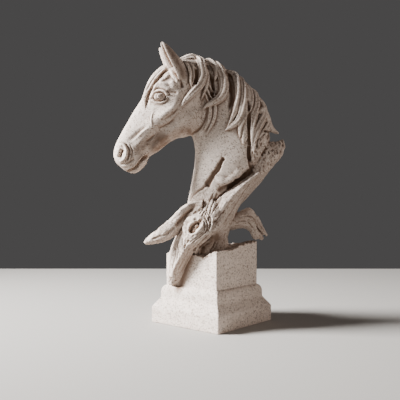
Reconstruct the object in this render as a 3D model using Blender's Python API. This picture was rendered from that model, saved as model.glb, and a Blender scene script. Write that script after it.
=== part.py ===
"""Horse head ornament cast in one piece of sandstone resin.

A large horse head and neck grows out of weathered driftwood.  A smaller head, also of
driftwood, hangs over one face of the square plinth, and a broken branch arches over to the
opposite corner.  Figure, driftwood and plinth are one casting, so the part is one solid.

The casting stands in its own upright frame: +Z up, origin at the centre of the plinth's
underside, X and Y square to the plinth.  The figure is laid out in a profile frame (x to the
right, z up, the horse looking towards -x, "side" towards the viewer) in figure units, and is
then turned on the plinth.
"""

from math import cos, pi, radians, sin, tau

import bmesh
import bpy
from mathutils import Matrix, Vector, noise
from mathutils.bvhtree import BVHTree

# Driving dimensions, in metres.
PLINTH_HEIGHT = 0.0800       # table to the mean of the broken top
BLOCK_WIDTH = 0.0696         # upright block of the plinth, square
FOOT_HEIGHT = 0.0169         # upright band at the foot
SLOPE_HEIGHT = 0.0098        # sloping band above the foot
SLOPE_REACH = 0.00695        # how far the slope steps in on each side
NECKING_HEIGHT = 0.0049      # narrow upright band between the slope and the quarter-round
OVOLO_HEIGHT = 0.0082        # quarter-round that runs into the block
OVOLO_REACH = 0.00425        # how far the quarter-round steps in on each side
EDGE_ROUND = 0.0012          # softened vertical edges of the cast
FOOT_CHAMFER = 0.0008        # worn lower edge of the foot
BREAK_FALL = 0.0130          # broken top, from its highest corner to its lowest
NOTCH_DEPTH = 0.0052         # bite out of the front edge beside the small head
NOTCH_WIDTH = 0.0306
FIGURE_HEIGHT = 0.2160       # plinth top to the tip of the ear
FIGURE_TURN = radians(40.6)  # profile plane of the horse, measured from the plinth's front
HEAD_TURN = radians(9.0)     # how far the head looks out of that plane
CLAY_GRAIN = 0.0015          # grid that melts the forms into one body
FACETS = 8300                # triangles left on the figure

# The figure is drawn in units of a 216th of its own height, over a plinth 80 units high.
UNITS_TALL = 216.0
UNIT = FIGURE_HEIGHT / UNITS_TALL
NECKING_WIDTH = BLOCK_WIDTH + 2 * OVOLO_REACH
PLINTH_WIDTH = NECKING_WIDTH + 2 * SLOPE_REACH
DRAWN_TOP = 80.0             # level of the plinth's top in the drawing
DRAWN_BLOCK_HALF = 34.8      # half of the block in the drawing
RING = 28                    # points round a body form
LOCK_RING = 10               # points round a lock of hair
SIDES = 14                   # steps along one side of the plinth


class Station:
    """One cross-section: upper and lower point in profile, half-width, side offset, lean."""

    def __init__(self, top, bottom, half_width, side=0.0, square=2.0, lean=0.0):
        self.top = Vector((top[0], 0.0, top[1]))
        self.bottom = Vector((bottom[0], 0.0, bottom[1]))
        self.half_width = half_width
        self.side = side
        self.square = square
        self.lean = lean


HEAD = [
    Station((-102.5, 170.0), (-92.0, 161.0), 7.0),
    Station((-105.0, 178.0), (-82.0, 159.5), 12.0, square=2.3),
    Station((-103.5, 187.5), (-72.5, 167.5), 13.5, square=2.3),
    Station((-98.5, 198.5), (-67.0, 177.0), 12.0, square=2.4),
    Station((-92.0, 210.5), (-58.0, 182.5), 11.8, square=2.4),
    Station((-84.0, 224.5), (-48.0, 190.5), 13.8, square=2.4),
    Station((-76.0, 237.0), (-38.0, 196.5), 17.0, square=2.4),
    Station((-70.0, 249.0), (-28.0, 198.5), 20.0, square=2.3),
    Station((-64.5, 259.0), (-16.0, 204.0), 21.0),
    Station((-57.0, 267.5), (-8.0, 216.0), 20.0),
    Station((-47.0, 274.5), (-4.0, 231.0), 18.0),
    Station((-36.0, 280.0), (0.0, 247.0), 16.0),
    Station((-24.0, 282.5), (6.0, 262.0), 13.0),
]

NECK = [
    Station((-24.0, 280.0), (-34.0, 245.0), 11.0),
    Station((-6.0, 279.5), (-30.0, 217.0), 14.0),
    Station((12.0, 272.0), (-21.5, 199.5), 15.5, square=2.2),
    Station((29.0, 260.5), (-18.5, 187.0), 17.0, square=2.3),
    Station((44.0, 246.5), (-18.3, 175.0), 18.5, square=2.3),
    Station((54.0, 230.0), (-19.8, 162.0), 20.0, square=2.3),
    Station((60.5, 212.0), (-22.0, 149.0), 21.5, square=2.3),
    Station((62.5, 196.0), (-24.5, 137.0), 22.5, square=2.2),
    Station((57.0, 177.0), (-26.5, 125.0), 22.5),
    Station((32.0, 158.0), (-26.0, 113.0), 21.0),
    Station((18.0, 140.0), (-20.0, 103.0), 17.0),
]

TRUNK = [
    Station((-22.0, 66.0), (22.0, 70.0), 24.0, square=2.8),
    Station((-20.0, 81.0), (17.5, 84.0), 22.0, square=2.8),
    Station((-19.0, 94.0), (16.5, 96.0), 20.5, square=2.7),
    Station((-16.0, 107.0), (24.0, 110.0), 20.5, square=2.7),
    Station((-9.0, 119.0), (28.0, 121.0), 21.5, square=2.7),
    Station((2.0, 132.0), (36.5, 136.0), 21.5, square=2.7),
    Station((14.0, 143.0), (48.0, 149.0), 21.0, square=2.6),
    Station((26.0, 154.0), (60.0, 160.5), 19.5, square=2.4),
    Station((38.0, 167.0), (71.5, 171.5), 17.0),
    Station((50.0, 183.0), (78.0, 181.0), 12.5),
    Station((63.0, 191.5), (79.3, 189.0), 8.5),
    Station((72.0, 195.5), (79.0, 192.5), 4.0),
]

BRANCH = [
    Station((17.0, 118.0), (15.0, 98.0), 10.0, side=2.0),
    Station((26.0, 118.0), (22.5, 96.0), 9.5, side=1.0),
    Station((34.0, 118.5), (31.0, 99.5), 9.0),
    Station((41.0, 120.5), (37.0, 98.5), 8.5, side=-1.0),
    Station((47.5, 117.0), (41.5, 93.5), 8.5, side=-2.0),
    Station((52.5, 107.0), (43.5, 88.0), 8.0, side=-3.0),
    Station((57.5, 99.0), (47.5, 86.0), 7.5, side=-4.0),
    Station((62.0, 92.5), (55.0, 86.0), 5.5, side=-4.0),
]

# The small head lies along the plinth's face, so its sections lean with that face.
FACE_LEAN = 0.858
SMALL_HEAD = [
    Station((-4.0, 134.0), (16.0, 122.0), 10.0, side=14.0, lean=0.2),
    Station((-14.0, 126.0), (13.0, 110.0), 13.0, side=20.0, lean=0.4),
    Station((-25.0, 115.0), (5.0, 100.0), 13.5, side=25.0, lean=0.6),
    Station((-31.5, 104.0), (-3.0, 90.0), 13.0, side=28.0, lean=0.7),
    Station((-36.0, 94.0), (-10.0, 83.5), 12.0, side=29.0, lean=0.8),
    Station((-40.5, 84.5), (-15.5, 77.5), 10.5, side=26.5, lean=FACE_LEAN),
    Station((-43.5, 75.0), (-20.5, 70.0), 9.5, side=23.5, lean=FACE_LEAN),
    Station((-46.0, 64.0), (-26.0, 61.0), 8.5, side=19.0, lean=FACE_LEAN),
    Station((-47.7, 53.0), (-31.5, 51.0), 7.5, side=16.0, lean=FACE_LEAN),
    Station((-47.7, 45.0), (-35.5, 43.5), 6.0, side=14.0, lean=FACE_LEAN),
    Station((-45.0, 41.0), (-40.5, 40.5), 2.5, side=12.5, lean=FACE_LEAN),
]

SMALL_EAR = [
    Station((-10.0, 131.5), (-12.0, 112.0), 8.0, side=20.0),
    Station((-25.7, 126.5), (-24.0, 106.0), 8.0, side=26.0),
    Station((-34.3, 120.5), (-32.0, 100.0), 8.0, side=29.0),
    Station((-42.2, 112.0), (-39.5, 93.0), 7.5, side=30.0),
    Station((-51.6, 104.0), (-48.0, 88.5), 6.5, side=29.5),
    Station((-62.5, 97.0), (-58.0, 86.0), 5.5, side=28.0),
    Station((-69.8, 90.5), (-65.5, 84.8), 4.0, side=26.0),
    Station((-72.0, 87.3), (-69.5, 85.0), 2.0, side=25.0),
]

EAR = [
    Station((-46.0, 262.0), (-27.5, 259.0), 7.4, side=11.5),
    Station((-51.2, 272.0), (-30.2, 271.5), 7.2, side=12.0),
    Station((-54.8, 280.5), (-37.4, 280.5), 6.4, side=12.0),
    Station((-56.8, 288.0), (-43.8, 287.5), 5.0, side=12.0),
    Station((-57.6, 293.0), (-49.6, 292.5), 3.2, side=12.0),
    Station((-56.6, 295.8), (-53.0, 295.8), 1.3, side=12.0),
]

# Locks of hair: the line of each in profile, its half-width and how far it stands out.
MANE = [
    ([(-36, 279), (-28, 281.5), (-21.8, 280.6), (-16.4, 275.6), (-13, 268.4), (-12, 261),
      (-14, 253.7), (-18.6, 247.3), (-24, 242), (-29, 236.5), (-35, 229)], 5.2, 4.8),
    ([(-13, 276), (-8.5, 267.5), (-6.8, 259), (-8, 249.7), (-11.4, 242.3), (-14.8, 235)],
     3.0, 3.4),
    ([(-32, 276), (-27, 270), (-24, 262), (-24, 254), (-24, 247)], 3.4, 2.4),
    ([(-11.6, 279), (-3.6, 277.5), (1.5, 273.4), (3.6, 268), (3.2, 261.8), (0.6, 254.4)],
     3.8, 4.2),
    ([(0.6, 276), (6.4, 271.7), (11, 264.4), (14.3, 256), (15, 248.6), (11.5, 241.8),
      (5.3, 236.6), (-2.9, 232.3), (-12, 226)], 5.4, 5.2),
    ([(9.8, 271), (17.6, 266.5), (23.4, 259), (27, 249.7), (28.6, 240), (27.6, 230.8),
      (25, 222.4), (21.3, 215), (16.5, 209.3), (11.6, 204.6)], 4.4, 4.6),
    ([(19.7, 267), (27, 259), (32.3, 249.7), (34.4, 239), (32.8, 228.7), (29.2, 219),
      (25, 212), (18.7, 205.6)], 5.0, 4.6),
    ([(27, 260.5), (35.5, 251), (39.3, 241), (39.5, 230.8), (37, 220), (33.4, 213),
      (30.8, 204.5), (28.7, 195.6)], 4.6, 3.8),
    ([(36.7, 250.6), (44, 242), (49, 232.3), (48.4, 222.8), (44.7, 214.4), (41.5, 205),
      (40.5, 195.4), (40.5, 186)], 4.4, 4.0),
    ([(43, 245.5), (50.5, 233.6), (54.7, 223.8), (53, 216.5), (49, 208.6), (45.2, 200.6),
      (43.4, 192), (43, 179)], 4.2, 4.2),
    ([(50.8, 233.5), (57.2, 219.5), (58.2, 209.4), (54.5, 201), (50.2, 192.4), (48, 184)],
     4.4, 3.4),
]
FOLDS = [
    ([(-3.5, 233), (-3.5, 221), (-6, 211), (-11, 203)], 2.2, 1.8),
    ([(2, 235), (2, 221), (-1.5, 210.5), (-7.5, 200)], 2.2, 1.8),
]
FORELOCK = [
    ([(-43, 277), (-49.5, 273.5), (-58, 268), (-64.5, 259), (-68, 249), (-69.5, 240),
      (-70.5, 229)], 3.6, 2.6),
    ([(-46, 276), (-58, 271), (-66, 261), (-71.5, 249), (-74.5, 238)], 3.2, 2.4),
]

# Weathered wood behind the mane, and the spur that it ends in.
SHOULDER = [
    Station((40.2, 157.0), (46.0, 148.0), 13.0, side=2.0),
    Station((41.0, 164.0), (54.2, 156.0), 13.5, side=2.0),
    Station((41.2, 173.3), (64.6, 167.4), 13.0, side=2.0, square=2.3),
    Station((44.5, 184.0), (73.2, 176.6), 11.5, side=2.0, square=2.4),
    Station((50.8, 191.2), (77.0, 184.2), 9.0, side=1.0, square=2.4),
    Station((58.5, 193.6), (78.0, 190.0), 6.0, square=2.4),
    Station((68.0, 193.4), (76.0, 196.0), 3.0, square=2.4),
]
SHOULDER_TOP = [
    Station((43.5, 176.0), (58.0, 178.0), 12.5, side=2.0),
    Station((47.4, 188.2), (61.0, 190.4), 10.5, side=2.0),
    Station((51.4, 196.7), (61.2, 196.7), 7.4, side=2.0),
    Station((54.6, 203.6), (61.0, 202.0), 4.4, side=2.0),
]

# Driftwood ridges: points as (x, side, z), and the radius at each end.
RIDGES = [
    ([(-14, 19, 122), (0, 21, 131), (12, 22, 139), (25, 22, 148), (38, 20, 155.5),
      (49, 16, 162), (58, 12, 168)], 4.4, 2.8),
    ([(13, 12, 82), (9.5, 14, 96), (14, 15, 110), (26, 15, 125), (38, 13, 140),
      (52, 9, 155)], 6.6, 5.0),
    ([(2, 15, 80), (4, 16, 96), (9, 17, 112), (17, 17, 127), (30, 16, 143)], 7.4, 5.4),
    ([(-14, 12, 78), (-10, 14, 90), (-2, 16, 102)], 8.0, 6.0),
    ([(50, 8, 230), (56.5, 7, 219), (61, 6, 211.5), (66, 5, 206.6), (72, 4, 202.2)], 6.8, 1.4),
    ([(11, -13, 82), (9.5, -14, 98), (17, -15, 114), (30, -14, 131), (45, -11, 148),
      (60, -7, 165)], 6.6, 5.0),
    ([(-12, -12, 82), (-8, -14, 100), (2, -15, 118), (16, -15, 136), (30, -14, 152)], 7.0, 5.0),
    ([(-18, 0, 84), (-19, 3, 100), (-18, 8, 112), (-12, 13, 124)], 5.0, 4.4),
]

# Hollows pressed into the sides: points in profile, reach across, and depth.
HOLLOWS = [
    ([(-101.5, 169.5), (-99.5, 174.0)], 3.4, 2.6),
    ([(-90.0, 160.5), (-83.0, 165.0), (-77.5, 172.5)], 2.4, 1.8),
    ([(-88.0, 199.0), (-76.0, 205.0), (-64.0, 212.0)], 5.0, 1.6),
    ([(10.5, 172.0), (-5.5, 151.5)], 3.0, 2.6),
    ([(5.0, 147.0), (20.0, 153.0), (31.0, 162.0), (41.0, 168.0), (38.5, 180.0)], 3.4, 3.2),
]
SMALL_HOLLOWS = [
    ([(-20.0, 104.0), (-15.5, 104.5)], 3.6, 3.0),
    ([(-34.0, 103.0), (-25.0, 113.0), (-17.0, 120.0)], 3.6, 3.0),
]


def spline(values, share):
    """Catmull-Rom value at share (0 to 1) along a list of numbers or vectors."""
    last = len(values) - 1
    place = share * last
    i = min(int(place), last - 1)
    t = place - i
    a, b, c, d = (values[max(0, min(last, k))] for k in (i - 1, i, i + 1, i + 2))
    return 0.5 * (2 * b + (c - a) * t + (2 * a - 5 * b + 4 * c - d) * t * t
                  + (3 * b - a - 3 * c + d) * t ** 3)


def smooth_step(value):
    """Eases from 0 to 1 as value goes from 0 to 1, and stays there outside."""
    t = max(0.0, min(1.0, value))
    return t * t * (3.0 - 2.0 * t)


def rounded(angle, square):
    """Superellipse direction: square 2 is an ellipse, and more is boxier."""
    c, s = cos(angle), sin(angle)
    power = 2.0 / square
    return (abs(c) ** power * (1 if c >= 0 else -1), abs(s) ** power * (1 if s >= 0 else -1))


def add_tube(shape, rings):
    """Joins rings of points into a closed tube in the bmesh, each end capped by a fan."""
    count = len(rings[0])
    loops = [[shape.verts.new(p) for p in ring] for ring in rings]
    for low, high in zip(loops, loops[1:]):
        for k in range(count):
            n = (k + 1) % count
            shape.faces.new((low[k], low[n], high[n], high[k]))
    for loop, turn in ((loops[0], 1), (loops[-1], -1)):
        centre = shape.verts.new(sum((v.co for v in loop), Vector()) / count)
        for k in range(count):
            pair = (loop[k], loop[(k + 1) % count])
            shape.faces.new((*pair[::-turn], centre))


def add_body(shape, stations, mirrored=False, bark=0.0, steps=4):
    """Lofts a body through the stations; bark roughens it with ridges along its length."""
    rings = []
    total = (len(stations) - 1) * steps
    sign = -1.0 if mirrored else 1.0
    for n in range(total + 1):
        share = n / total
        top = spline([s.top for s in stations], share)
        bottom = spline([s.bottom for s in stations], share)
        width = spline([s.half_width for s in stations], share)
        side = spline([s.side for s in stations], share)
        square = spline([s.square for s in stations], share)
        lean = spline([s.lean for s in stations], share)
        middle, up = (top + bottom) / 2, (top - bottom) / 2
        points = []
        for k in range(RING):
            c, s = rounded(tau * k / RING, square)
            ridge = noise.noise(Vector((3.0 * c, 3.0 * s, share * len(stations) * 0.35)))
            swell = 1.0 + bark * ridge
            offset = up * (c * swell)
            towards = side + lean * offset.x + width * s * swell
            points.append(middle + offset + Vector((0.0, -sign * towards, 0.0)))
        rings.append(points)
    add_tube(shape, rings)


def add_ellipsoid(shape, centre, radii):
    """A closed ellipsoid with centre (x, side, z) and radii along x, y and z."""
    made = bmesh.ops.create_uvsphere(shape, u_segments=24, v_segments=14, radius=1.0)
    for vert in made["verts"]:
        vert.co = Vector((centre[0] + vert.co.x * radii[0], -centre[1] + vert.co.y * radii[1],
                          centre[2] + vert.co.z * radii[2]))


def swept_rings(path, normals, width, height, shares):
    """Elliptical rings along a path, flat to the surface whose normals are given."""
    rings = []
    for i, (centre, normal, share) in enumerate(zip(path, normals, shares)):
        ahead = path[min(i + 1, len(path) - 1)] - path[max(i - 1, 0)]
        across = ahead.cross(normal).normalized()
        out = across.cross(ahead).normalized()
        ring = []
        for k in range(LOCK_RING):
            angle = tau * k / LOCK_RING
            ring.append(centre + across * (width * share * cos(angle))
                        + out * (height * share * sin(angle)))
        rings.append(ring)
    return rings


def add_lock(shape, body, line, width, height, near):
    """A tapering lock of hair laid over the body along a line drawn in profile."""
    sign = -1.0 if near else 1.0
    count = 5 * len(line)
    flat = [Vector((x, 0.0, z)) for x, z in line]
    path, normals, shares = [], [], []
    for n in range(count + 1):
        share = n / count
        place = spline(flat, share)
        hit, normal, _, _ = body.ray_cast(Vector((place.x, sign * 200.0, place.z)),
                                          Vector((0.0, -sign, 0.0)))
        if hit is None:
            hit, normal, _, _ = body.find_nearest(Vector((place.x, sign * 4.0, place.z)))
        lift = height * (0.5 * smooth_step(share / 0.2) - 0.1)
        path.append(hit + normal * lift)
        normals.append(normal)
        taper = 1.0 - max(0.0, (share - 0.5) / 0.5) ** 1.7
        shares.append((0.55 + 0.45 * smooth_step(share / 0.25)) * (0.12 + 0.88 * taper))
    for _ in range(3):
        path = [path[0]] + [(path[i - 1] + path[i] * 2 + path[i + 1]) / 4
                            for i in range(1, count)] + [path[-1]]
        normals = [normals[0]] + [(normals[i - 1] + normals[i] + normals[i + 1]).normalized()
                                  for i in range(1, count)] + [normals[-1]]
    add_tube(shape, swept_rings(path, normals, width, height, shares))


def add_ridge(shape, points, first, last):
    """A round driftwood ridge through points given as (x, side, z)."""
    line = [Vector((x, -side, z)) for x, side, z in points]
    count = 6 * len(points)
    path = [spline(line, n / count) for n in range(count + 1)]
    normals = [Vector((0.3, 1.0, 0.2)) for _ in path]
    shares = [(1.0 - n / count) + n / count * last / first for n in range(count + 1)]
    add_tube(shape, swept_rings(path, normals, first, first, shares))


def new_object(name, shape):
    """Turns a bmesh into an object of the scene, with its faces turned outwards."""
    bmesh.ops.recalc_face_normals(shape, faces=shape.faces)
    mesh = bpy.data.meshes.new(name)
    shape.to_mesh(mesh)
    shape.free()
    made = bpy.data.objects.new(name, mesh)
    bpy.context.scene.collection.objects.link(made)
    return made


def apply_modifiers(target):
    """Replaces the object's mesh with the one its modifiers make."""
    graph = bpy.context.evaluated_depsgraph_get()
    result = bpy.data.meshes.new_from_object(target.evaluated_get(graph))
    target.modifiers.clear()
    target.data = result


def distance_to_line(x, z, line):
    """Least distance in profile from a point to a line of points."""
    best = 1e9
    for (x1, z1), (x2, z2) in zip(line, line[1:]):
        run, rise = x2 - x1, z2 - z1
        t = max(0.0, min(1.0, ((x - x1) * run + (z - z1) * rise) / (run * run + rise * rise)))
        best = min(best, ((x - x1 - t * run) ** 2 + (z - z1 - t * rise) ** 2) ** 0.5)
    return best


def press(mesh, hollows, near_only, least_side):
    """Presses hollows into the sides of the figure, along its normals."""
    moves = {}
    for vert in mesh.vertices:
        if -vert.co.y < least_side and (near_only or vert.co.y < least_side):
            continue
        for line, reach, depth in hollows:
            share = distance_to_line(vert.co.x, vert.co.z, line) / reach
            if share < 1.0 and abs(vert.normal.y) > 0.25:
                fall = vert.normal * (-depth * (1.0 - smooth_step(share)))
                moves[vert.index] = moves.get(vert.index, Vector()) + fall
    for index, move in moves.items():
        mesh.vertices[index].co += move


def turn_head(mesh):
    """Turns the head towards the viewer, the neck bending evenly below it."""
    for vert in mesh.vertices:
        x, y, z = vert.co
        risen = smooth_step((z - 150.0) / 80.0)
        forward = smooth_step((-30.0 - x) / 12.0) if z > 140.0 else 0.0
        angle = HEAD_TURN * max(risen, forward) * smooth_step((20.0 - x) / 40.0)
        vert.co = Vector((x * cos(angle) - y * sin(angle), x * sin(angle) + y * cos(angle), z))


def build_figure():
    """Head, neck, mane and driftwood melted into one body and set on the plinth."""
    flesh = bmesh.new()
    add_body(flesh, HEAD)
    add_body(flesh, NECK)
    add_ellipsoid(flesh, (-24.5, 0.0, 222.0), (22.0, 18.8, 19.0))
    body = BVHTree.FromBMesh(flesh)
    add_body(flesh, TRUNK, bark=0.12)
    add_body(flesh, BRANCH, bark=0.12)
    add_body(flesh, SMALL_HEAD, bark=0.05)
    add_body(flesh, SMALL_EAR, bark=0.08)
    add_body(flesh, SHOULDER, bark=0.06)
    add_body(flesh, SHOULDER_TOP, bark=0.06)
    for points, first, last in RIDGES:
        add_ridge(flesh, points, first, last)
    for near in (True, False):
        add_body(flesh, EAR, mirrored=not near)
        add_ellipsoid(flesh, (-59.5, 17.2 if near else -17.2, 237.5), (5.2, 5.2, 4.4))
        for line, width, height in MANE + FOLDS + FORELOCK:
            add_lock(flesh, body, line, width, height, near)
    figure = new_object("horse_head_ornament", flesh)
    melt = figure.modifiers.new("Melt", "REMESH")
    melt.mode = "VOXEL"
    melt.voxel_size = CLAY_GRAIN / UNIT
    soften = figure.modifiers.new("Soften", "SMOOTH")
    soften.factor = 0.5
    soften.iterations = 3
    apply_modifiers(figure)
    press(figure.data, HOLLOWS, near_only=False, least_side=4.0)
    press(figure.data, SMALL_HOLLOWS, near_only=True, least_side=24.0)
    turn_head(figure.data)
    reduce = figure.modifiers.new("Reduce", "DECIMATE")
    reduce.ratio = FACETS / (2.0 * len(figure.data.polygons))
    apply_modifiers(figure)
    place_on_plinth(figure.data)
    return figure


def place_on_plinth(mesh):
    """Brings the drawing to size, keeps the small head on the plinth's face, and turns it."""
    spread = BLOCK_WIDTH / 2 - DRAWN_BLOCK_HALF * UNIT
    face_out = Vector((-sin(FIGURE_TURN), -cos(FIGURE_TURN), 0.0))
    turn = Matrix.Rotation(FIGURE_TURN, 4, "Z")
    for vert in mesh.vertices:
        x, y, z = vert.co
        low = smooth_step((DRAWN_TOP + 45.0 - z) / 45.0)
        near = smooth_step((-y - 8.0 + 0.3 * x) / 10.0) if x < 0.0 else 0.0
        placed = Vector((x * UNIT, y * UNIT, (z - DRAWN_TOP) * UNIT + PLINTH_HEIGHT))
        vert.co = turn @ (placed + face_out * (spread * low * near))


def plinth_levels():
    """(height, half-width) of each moulding level, from the foot to the block."""
    slope_top = FOOT_HEIGHT + SLOPE_HEIGHT
    necking_top = slope_top + NECKING_HEIGHT
    block_foot = necking_top + OVOLO_HEIGHT
    levels = [(0.0, PLINTH_WIDTH / 2 - FOOT_CHAMFER), (FOOT_CHAMFER, PLINTH_WIDTH / 2),
              (FOOT_HEIGHT, PLINTH_WIDTH / 2), (slope_top, NECKING_WIDTH / 2),
              (necking_top, NECKING_WIDTH / 2)]
    for n in range(1, 6):
        angle = pi / 2 * n / 5
        levels.append((necking_top + OVOLO_HEIGHT * sin(angle),
                       NECKING_WIDTH / 2 - OVOLO_REACH * (1.0 - cos(angle))))
    levels.append(((block_foot + PLINTH_HEIGHT - BREAK_FALL) / 2, BLOCK_WIDTH / 2))
    return levels


def square_ring(half):
    """Points round a square with rounded corners, from the front left corner."""
    inner = half - EDGE_ROUND
    points = []
    corners = [(-1, -1), (1, -1), (1, 1), (-1, 1)]
    for i, (sx, sy) in enumerate(corners):
        nx, ny = corners[(i + 1) % 4]
        start = pi + i * pi / 2
        for n in range(4):
            angle = start + n * pi / 6
            points.append((sx * inner + EDGE_ROUND * cos(angle),
                           sy * inner + EDGE_ROUND * sin(angle)))
        for n in range(1, SIDES):
            t = n / SIDES
            points.append((sx * inner + (nx - sx) * inner * t + EDGE_ROUND * cos(start + pi / 2),
                           sy * inner + (ny - sy) * inner * t + EDGE_ROUND * sin(start + pi / 2)))
    return points


def broken_top(x, y):
    """Height of the broken edge round the block, low at the front left, high at the right."""
    u, v = x / BLOCK_WIDTH + 0.5, y / BLOCK_WIDTH + 0.5
    level = BREAK_FALL * (0.46 * u * u * (1.0 - v) + (0.62 + 0.38 * u) * v - 0.54)
    bite = max(0.0, 1.0 - abs(x - 0.24 * BLOCK_WIDTH) / (NOTCH_WIDTH / 2))
    notch = NOTCH_DEPTH * bite * smooth_step((0.3 - v) / 0.3)
    ragged = 0.0016 * noise.noise(Vector((x * 160.0, y * 160.0, 2.0)))
    return PLINTH_HEIGHT + level - notch + ragged


def build_plinth():
    """The moulded plinth, with the top of its block broken off unevenly."""
    shape = bmesh.new()
    rings = [[Vector((x, y, z)) for x, y in square_ring(half)] for z, half in plinth_levels()]
    rings.append([Vector((x, y, broken_top(x, y))) for x, y in square_ring(BLOCK_WIDTH / 2)])
    rings.append([Vector((x * 0.8, y * 0.8, broken_top(x, y) + 0.001))
                  for x, y in square_ring(BLOCK_WIDTH / 2)])
    add_tube(shape, rings)
    return new_object("plinth", shape)


def sandstone_resin():
    """Matt sandstone resin: warm off-white, with the dull sheen of a powdery cast skin."""
    material = bpy.data.materials.new("sandstone_resin")
    material.use_nodes = True
    shader = material.node_tree.nodes["Principled BSDF"]
    shader.inputs["Base Color"].default_value = (0.66, 0.60, 0.53, 1.0)
    shader.inputs["Roughness"].default_value = 0.9
    shader.inputs["IOR"].default_value = 1.5
    return material


def main():
    """Clears the scene, builds the two halves of the cast and joins them."""
    for old in list(bpy.data.objects):
        bpy.data.objects.remove(old)
    figure = build_figure()
    plinth = build_plinth()
    join = figure.modifiers.new("Join", "BOOLEAN")
    join.operation = "UNION"
    join.solver = "EXACT"
    join.object = plinth
    apply_modifiers(figure)
    bpy.data.objects.remove(plinth)
    figure.data.materials.clear()
    figure.data.materials.append(sandstone_resin())
    figure.data.shade_smooth()
    figure.data.set_sharp_from_angle(angle=radians(35.0))


main()
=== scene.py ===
"""Looks of the horse head ornament: a cast of stone-filled resin on its own square plinth.

The figure is laid out in a profile frame in millimetres: x to the right, y away from the
viewer, z up from the table, the horse looking towards -x.  Its forms are lofted as numpy
surfaces, melted into one skin, carved with strokes, and turned on the plinth.  "Side" is
the distance towards the viewer, which is minus y.
"""

import logging
import math
from dataclasses import dataclass, field, replace
from enum import Enum
from itertools import product

import bpy
import numpy as np
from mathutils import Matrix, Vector
from mathutils.bvhtree import BVHTree


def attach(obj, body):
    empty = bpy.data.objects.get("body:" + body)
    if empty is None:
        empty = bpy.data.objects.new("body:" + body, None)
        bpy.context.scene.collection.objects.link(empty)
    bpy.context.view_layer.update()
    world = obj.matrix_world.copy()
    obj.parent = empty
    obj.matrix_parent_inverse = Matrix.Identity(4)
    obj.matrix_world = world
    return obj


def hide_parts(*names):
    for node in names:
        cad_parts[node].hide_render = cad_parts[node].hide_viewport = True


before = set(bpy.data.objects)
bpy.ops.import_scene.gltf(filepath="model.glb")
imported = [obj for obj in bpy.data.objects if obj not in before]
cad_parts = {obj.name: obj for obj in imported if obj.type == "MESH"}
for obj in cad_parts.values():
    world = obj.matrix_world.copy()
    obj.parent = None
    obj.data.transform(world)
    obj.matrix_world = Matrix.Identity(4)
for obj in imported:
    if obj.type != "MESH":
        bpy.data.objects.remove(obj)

LOG = logging.getLogger("horse_head_ornament")

MM = 0.001                          # metres in a millimetre
FIGURE_TURN = math.radians(40.6)    # profile plane of the horse, from the plinth's front
HEAD_TURN = math.radians(9.0)       # how far the head looks out of that plane
FLESH_CELL = 1.2                    # grid that melts the flesh under the hair, in mm
SKIN_CELL = 0.55                    # grid that melts all the forms, in mm
MOST_TRIANGLES = 196000             # on the figure
ASIDE = 200.0                       # a place beside the figure and clear of it, in mm
FLIP = np.array([1.0, -1.0, 1.0])   # changes sides of the profile plane

# noise: factors and masks that turn a corner of the lattice into a random whole number
CORNER_FACTORS = (374761393, 668265263, 2147483647)
SEED_FACTOR = 974711
MIX_FACTOR = 1274126177
KEPT_BITS = 0xFFFFFFFFFFFF
VALUE_BITS = 0xFFFFF

# a lock's section, in shares of its radius: the mean, and how far its strands stand out
STRAND_MEAN = 0.9
STRAND_DEPTH = 0.13
STRAND_TWIST = 2.4                  # radians from root to tip

# carving strokes
LINE_STEPS = 7                      # points of the smoothed line for each drawn one
STROKE_MARGIN = 1.6                 # how far a stroke can act, in times its reach
LEAST_FACING = 0.12                 # skin that looks less to the side than this isn't cut
GROOVE_POWER = 1.15                 # how its walls fall to the bottom
SLOT_STEEPNESS = 3.0                # walls of a slot, in times those of a trough
BURR_PLACE = 1.25                   # raised edge of a groove, in shares of reach and depth
BURR_WIDTH = 0.45
BURR_HEIGHT = 0.28


class Side(Enum):
    """Side of the figure that a form or stroke lies on."""

    NEAR = 1
    FAR = -1
    BOTH = 0


class Cut(Enum):
    """Cross-section of a carving stroke."""

    GROOVE = "groove"
    TROUGH = "trough"
    SLOT = "slot"
    RIDGE = "ridge"


@dataclass
class Surface:
    """A mesh as whole arrays: points (n, 3) in mm, and quads or triangles by index."""

    points: np.ndarray
    quads: np.ndarray
    triangles: np.ndarray

    @staticmethod
    def merged(parts: list["Surface"]) -> "Surface":
        """Puts several surfaces into one without joining them.

        Args:
            parts: the surfaces.

        Returns:
            One surface that holds them all.
        """
        starts = np.cumsum([0] + [len(part.points) for part in parts[:-1]])
        return Surface(
            np.concatenate([part.points for part in parts]),
            np.concatenate([part.quads + start for part, start in zip(parts, starts)]),
            np.concatenate([part.triangles + start for part, start in zip(parts, starts)]),
        )

    def mesh(self, name: str) -> bpy.types.Mesh:
        """Makes a Blender mesh of the surface.

        Args:
            name: name of the mesh.

        Returns:
            The mesh, in the units of the points.
        """
        made = bpy.data.meshes.new(name)
        loops = np.concatenate([self.quads.ravel(), self.triangles.ravel()]).astype(np.int32)
        totals = np.concatenate([np.full(len(self.quads), 4), np.full(len(self.triangles), 3)])
        made.vertices.add(len(self.points))
        made.vertices.foreach_set("co", self.points.astype(np.float32).ravel())
        made.loops.add(len(loops))
        made.loops.foreach_set("vertex_index", loops)
        made.polygons.add(len(totals))
        starts = np.concatenate([[0], np.cumsum(totals)[:-1]]).astype(np.int32)
        made.polygons.foreach_set("loop_start", starts)
        made.update(calc_edges=True)
        made.validate()
        return made


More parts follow.
